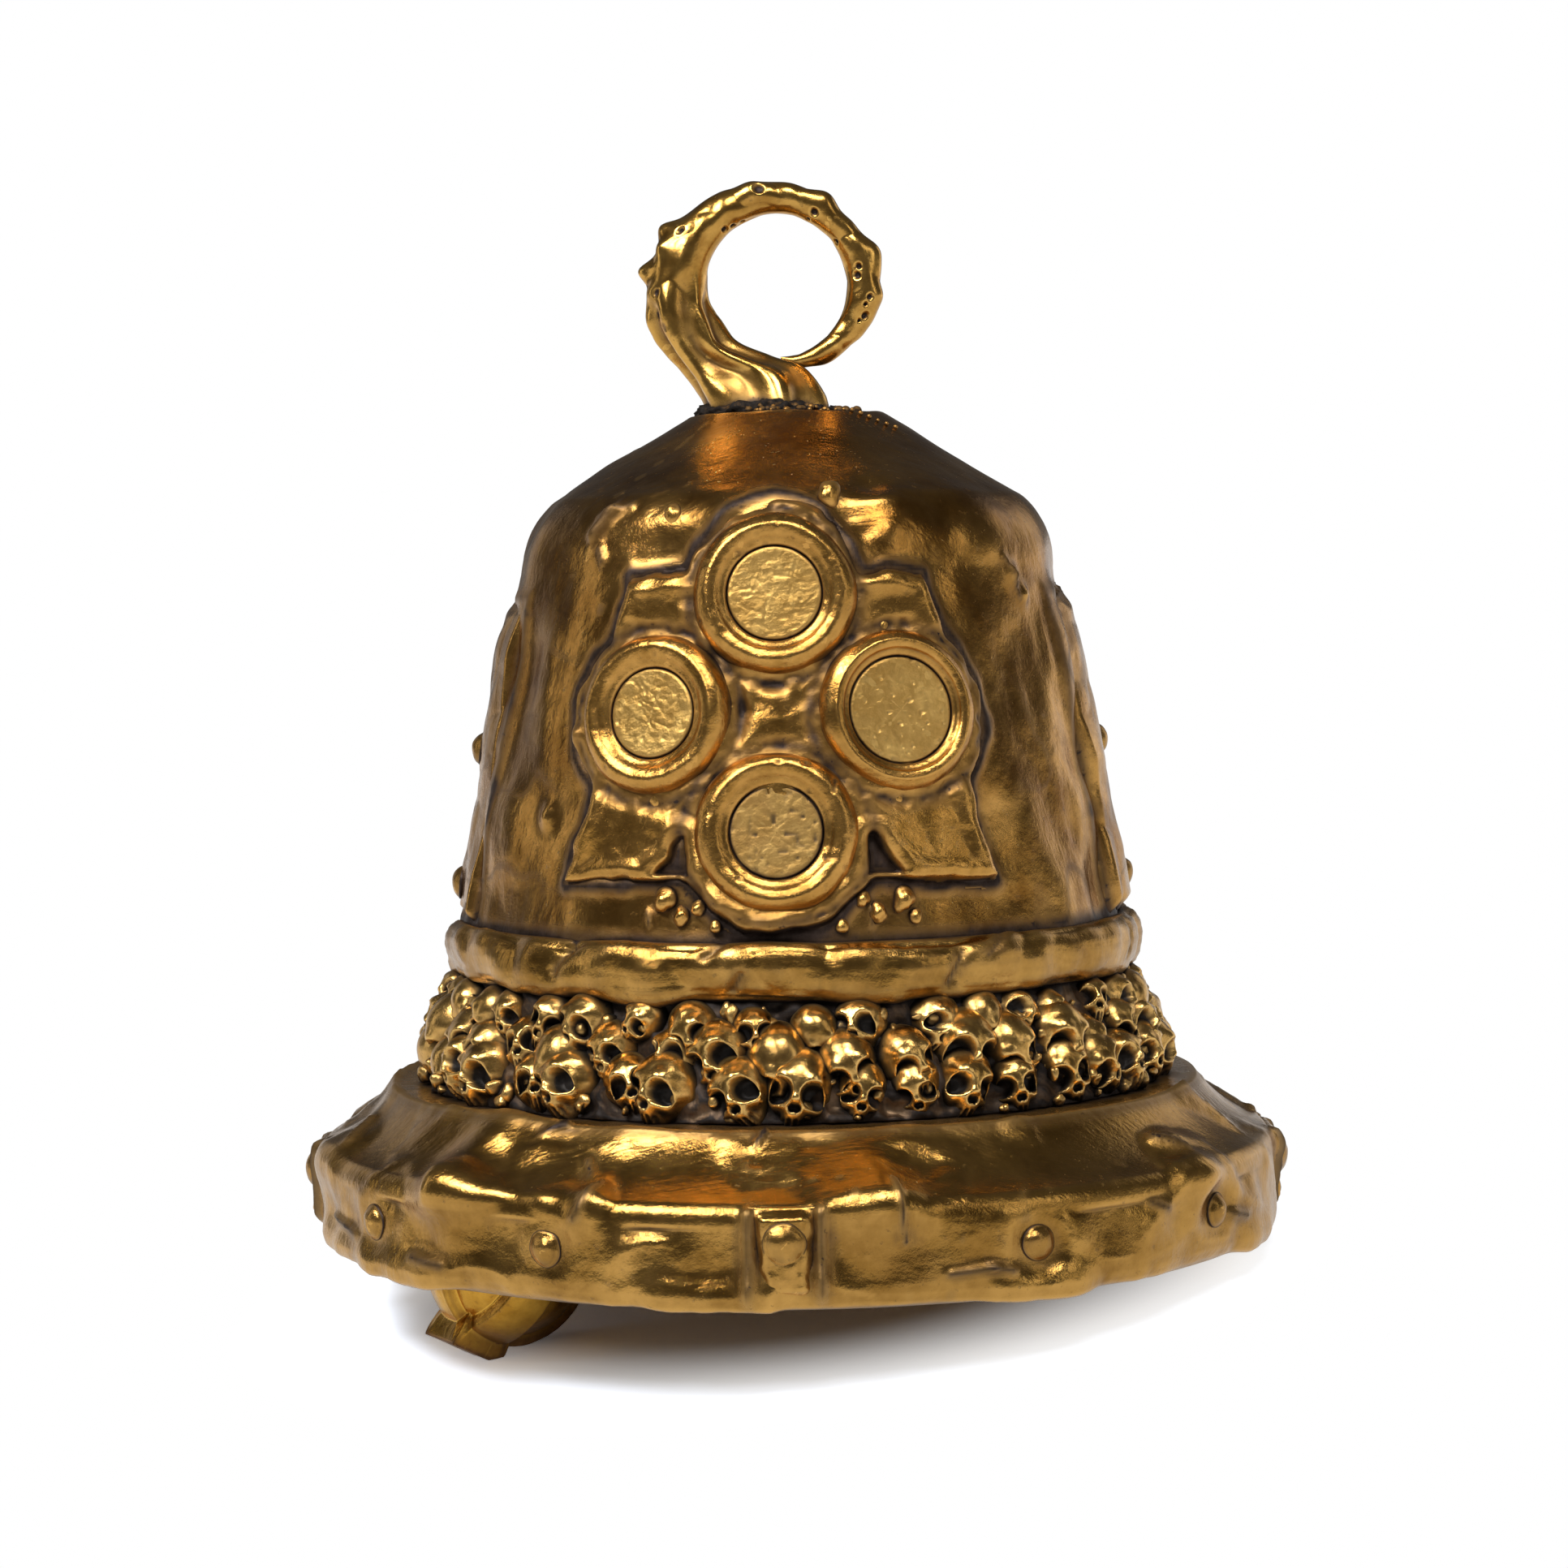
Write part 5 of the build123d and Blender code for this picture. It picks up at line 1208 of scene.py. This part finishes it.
# The floor takes a soft shadow close to the bell; its round edge is painted, a fade on the distance from the
# bell to plain white further out. The floor is clear from below.
FLOOR_SEEN, FLOOR_MIRRORED = (2.75, 3.05, 3.6, 1), (0.7, 0.7, 0.7, 1)
SHADOW_AWAY, SHADOW_FADE = (-0.003, 0.004, 0.0), (0.028, 0.058)
GLOW_MIRRORED, GLOW_SEEN = 0.72, 1.0
paper = bpy.data.materials.new("paper")
tree, nodes = new_nodes(paper, "OutputMaterial", "BsdfDiffuse", "BsdfDiffuse", "Emission", "BsdfTransparent",
                        "LightPath", "NewGeometry", "VectorMath", "MapRange", "MapRange", *["MixShader"] * 3)
out, seen, unseen, glow, nothing, rays, place, shift, fade, strength, by_eye, by_place, from_below = nodes
seen.inputs["Color"].default_value, unseen.inputs["Color"].default_value = FLOOR_SEEN, FLOOR_MIRRORED
shift.operation, fade.interpolation_type = "DISTANCE", "SMOOTHSTEP"
shift.inputs[1].default_value = SHADOW_AWAY
fade.inputs["From Min"].default_value, fade.inputs["From Max"].default_value = SHADOW_FADE
strength.inputs["To Min"].default_value, strength.inputs["To Max"].default_value = GLOW_MIRRORED, GLOW_SEEN
camera_ray = rays.outputs["Is Camera Ray"]
for output, target in (
    (place.outputs["Position"], shift.inputs[0]), (shift.outputs["Value"], fade.inputs["Value"]),
    (camera_ray, strength.inputs["Value"]), (strength.outputs["Result"], glow.inputs["Strength"]),
    (camera_ray, by_eye.inputs["Fac"]), (unseen.outputs["BSDF"], by_eye.inputs[1]),
    (seen.outputs["BSDF"], by_eye.inputs[2]), (fade.outputs["Result"], by_place.inputs["Fac"]),
    (by_eye.outputs["Shader"], by_place.inputs[1]), (glow.outputs["Emission"], by_place.inputs[2]),
    (place.outputs["Backfacing"], from_below.inputs["Fac"]),
    (by_place.outputs["Shader"], from_below.inputs[1]), (nothing.outputs["BSDF"], from_below.inputs[2]),
    (from_below.outputs["Shader"], out.inputs["Surface"]),
):
    tree.links.new(output, target)
floor_mesh.materials.append(paper)

MIDDLE_Z = 0.05
LIGHTS = (  # name, azimuth (0 in front, positive to the right), elevation, distance, width, height, power
    ("upper_left", -46, 54, 0.95, 0.34, 0.26, 4.6), ("upper_right", 24, 57, 0.95, 0.36, 0.24, 3.3),
    ("key", -24, 44, 0.95, 0.12, 0.12, 1.1), ("left_panel", -96, 20, 0.9, 0.13, 0.5, 0.28),
    ("right_panel", 60, 22, 0.9, 0.12, 0.45, 0.32), ("left_rear", -140, 12, 0.9, 0.4, 0.5, 0.2),
    ("right_rear", 130, 12, 0.9, 0.4, 0.5, 0.42),
)
for name, azimuth, elevation, distance, width, height, power in LIGHTS:
    a, e = math.radians(azimuth), math.radians(elevation)
    offset = (math.cos(e) * math.sin(a), -math.cos(e) * math.cos(a), math.sin(e))
    data = bpy.data.lights.new(name, "AREA")
    data.shape, data.size, data.size_y, data.energy = "RECTANGLE", width, height, power
    light = bpy.data.objects.new(name, data)
    bpy.context.scene.collection.objects.link(light)
    light.location = Vector(offset) * distance + Vector((0, 0, MIDDLE_Z))
    light.rotation_mode = "QUATERNION"
    light.rotation_quaternion = (-Vector(offset)).to_track_quat("-Z", "Y")

SKY = ((0.0, 0.18), (0.12, 0.095), (0.45, 0.06), (0.9, 0.08))  # height above the horizon, brightness
world = bpy.data.worlds.new("studio")
bpy.context.scene.world = world
tree, nodes = new_nodes(world, "OutputWorld", "Background", "Background", "MixShader", "LightPath",
                        "TexCoord", "SeparateXYZ", "ValToRGB")
out, sky, white, chooser, rays, place, split, gradient = nodes
while len(gradient.color_ramp.elements) < len(SKY):
    gradient.color_ramp.elements.new(0.5)
for element, (height, value) in zip(gradient.color_ramp.elements, SKY):
    element.position, element.color = height, (value, value, value, 1)
white.inputs["Color"].default_value = (1, 1, 1, 1)
for output, target in (
    (place.outputs["Generated"], split.inputs["Vector"]), (split.outputs["Z"], gradient.inputs["Fac"]),
    (gradient.outputs["Color"], sky.inputs["Color"]), (rays.outputs["Is Camera Ray"], chooser.inputs["Fac"]),
    (sky.outputs["Background"], chooser.inputs[1]), (white.outputs["Background"], chooser.inputs[2]),
    (chooser.outputs["Shader"], out.inputs["Surface"]),
):
    tree.links.new(output, target)
bpy.context.scene.view_settings.view_transform = "Standard"
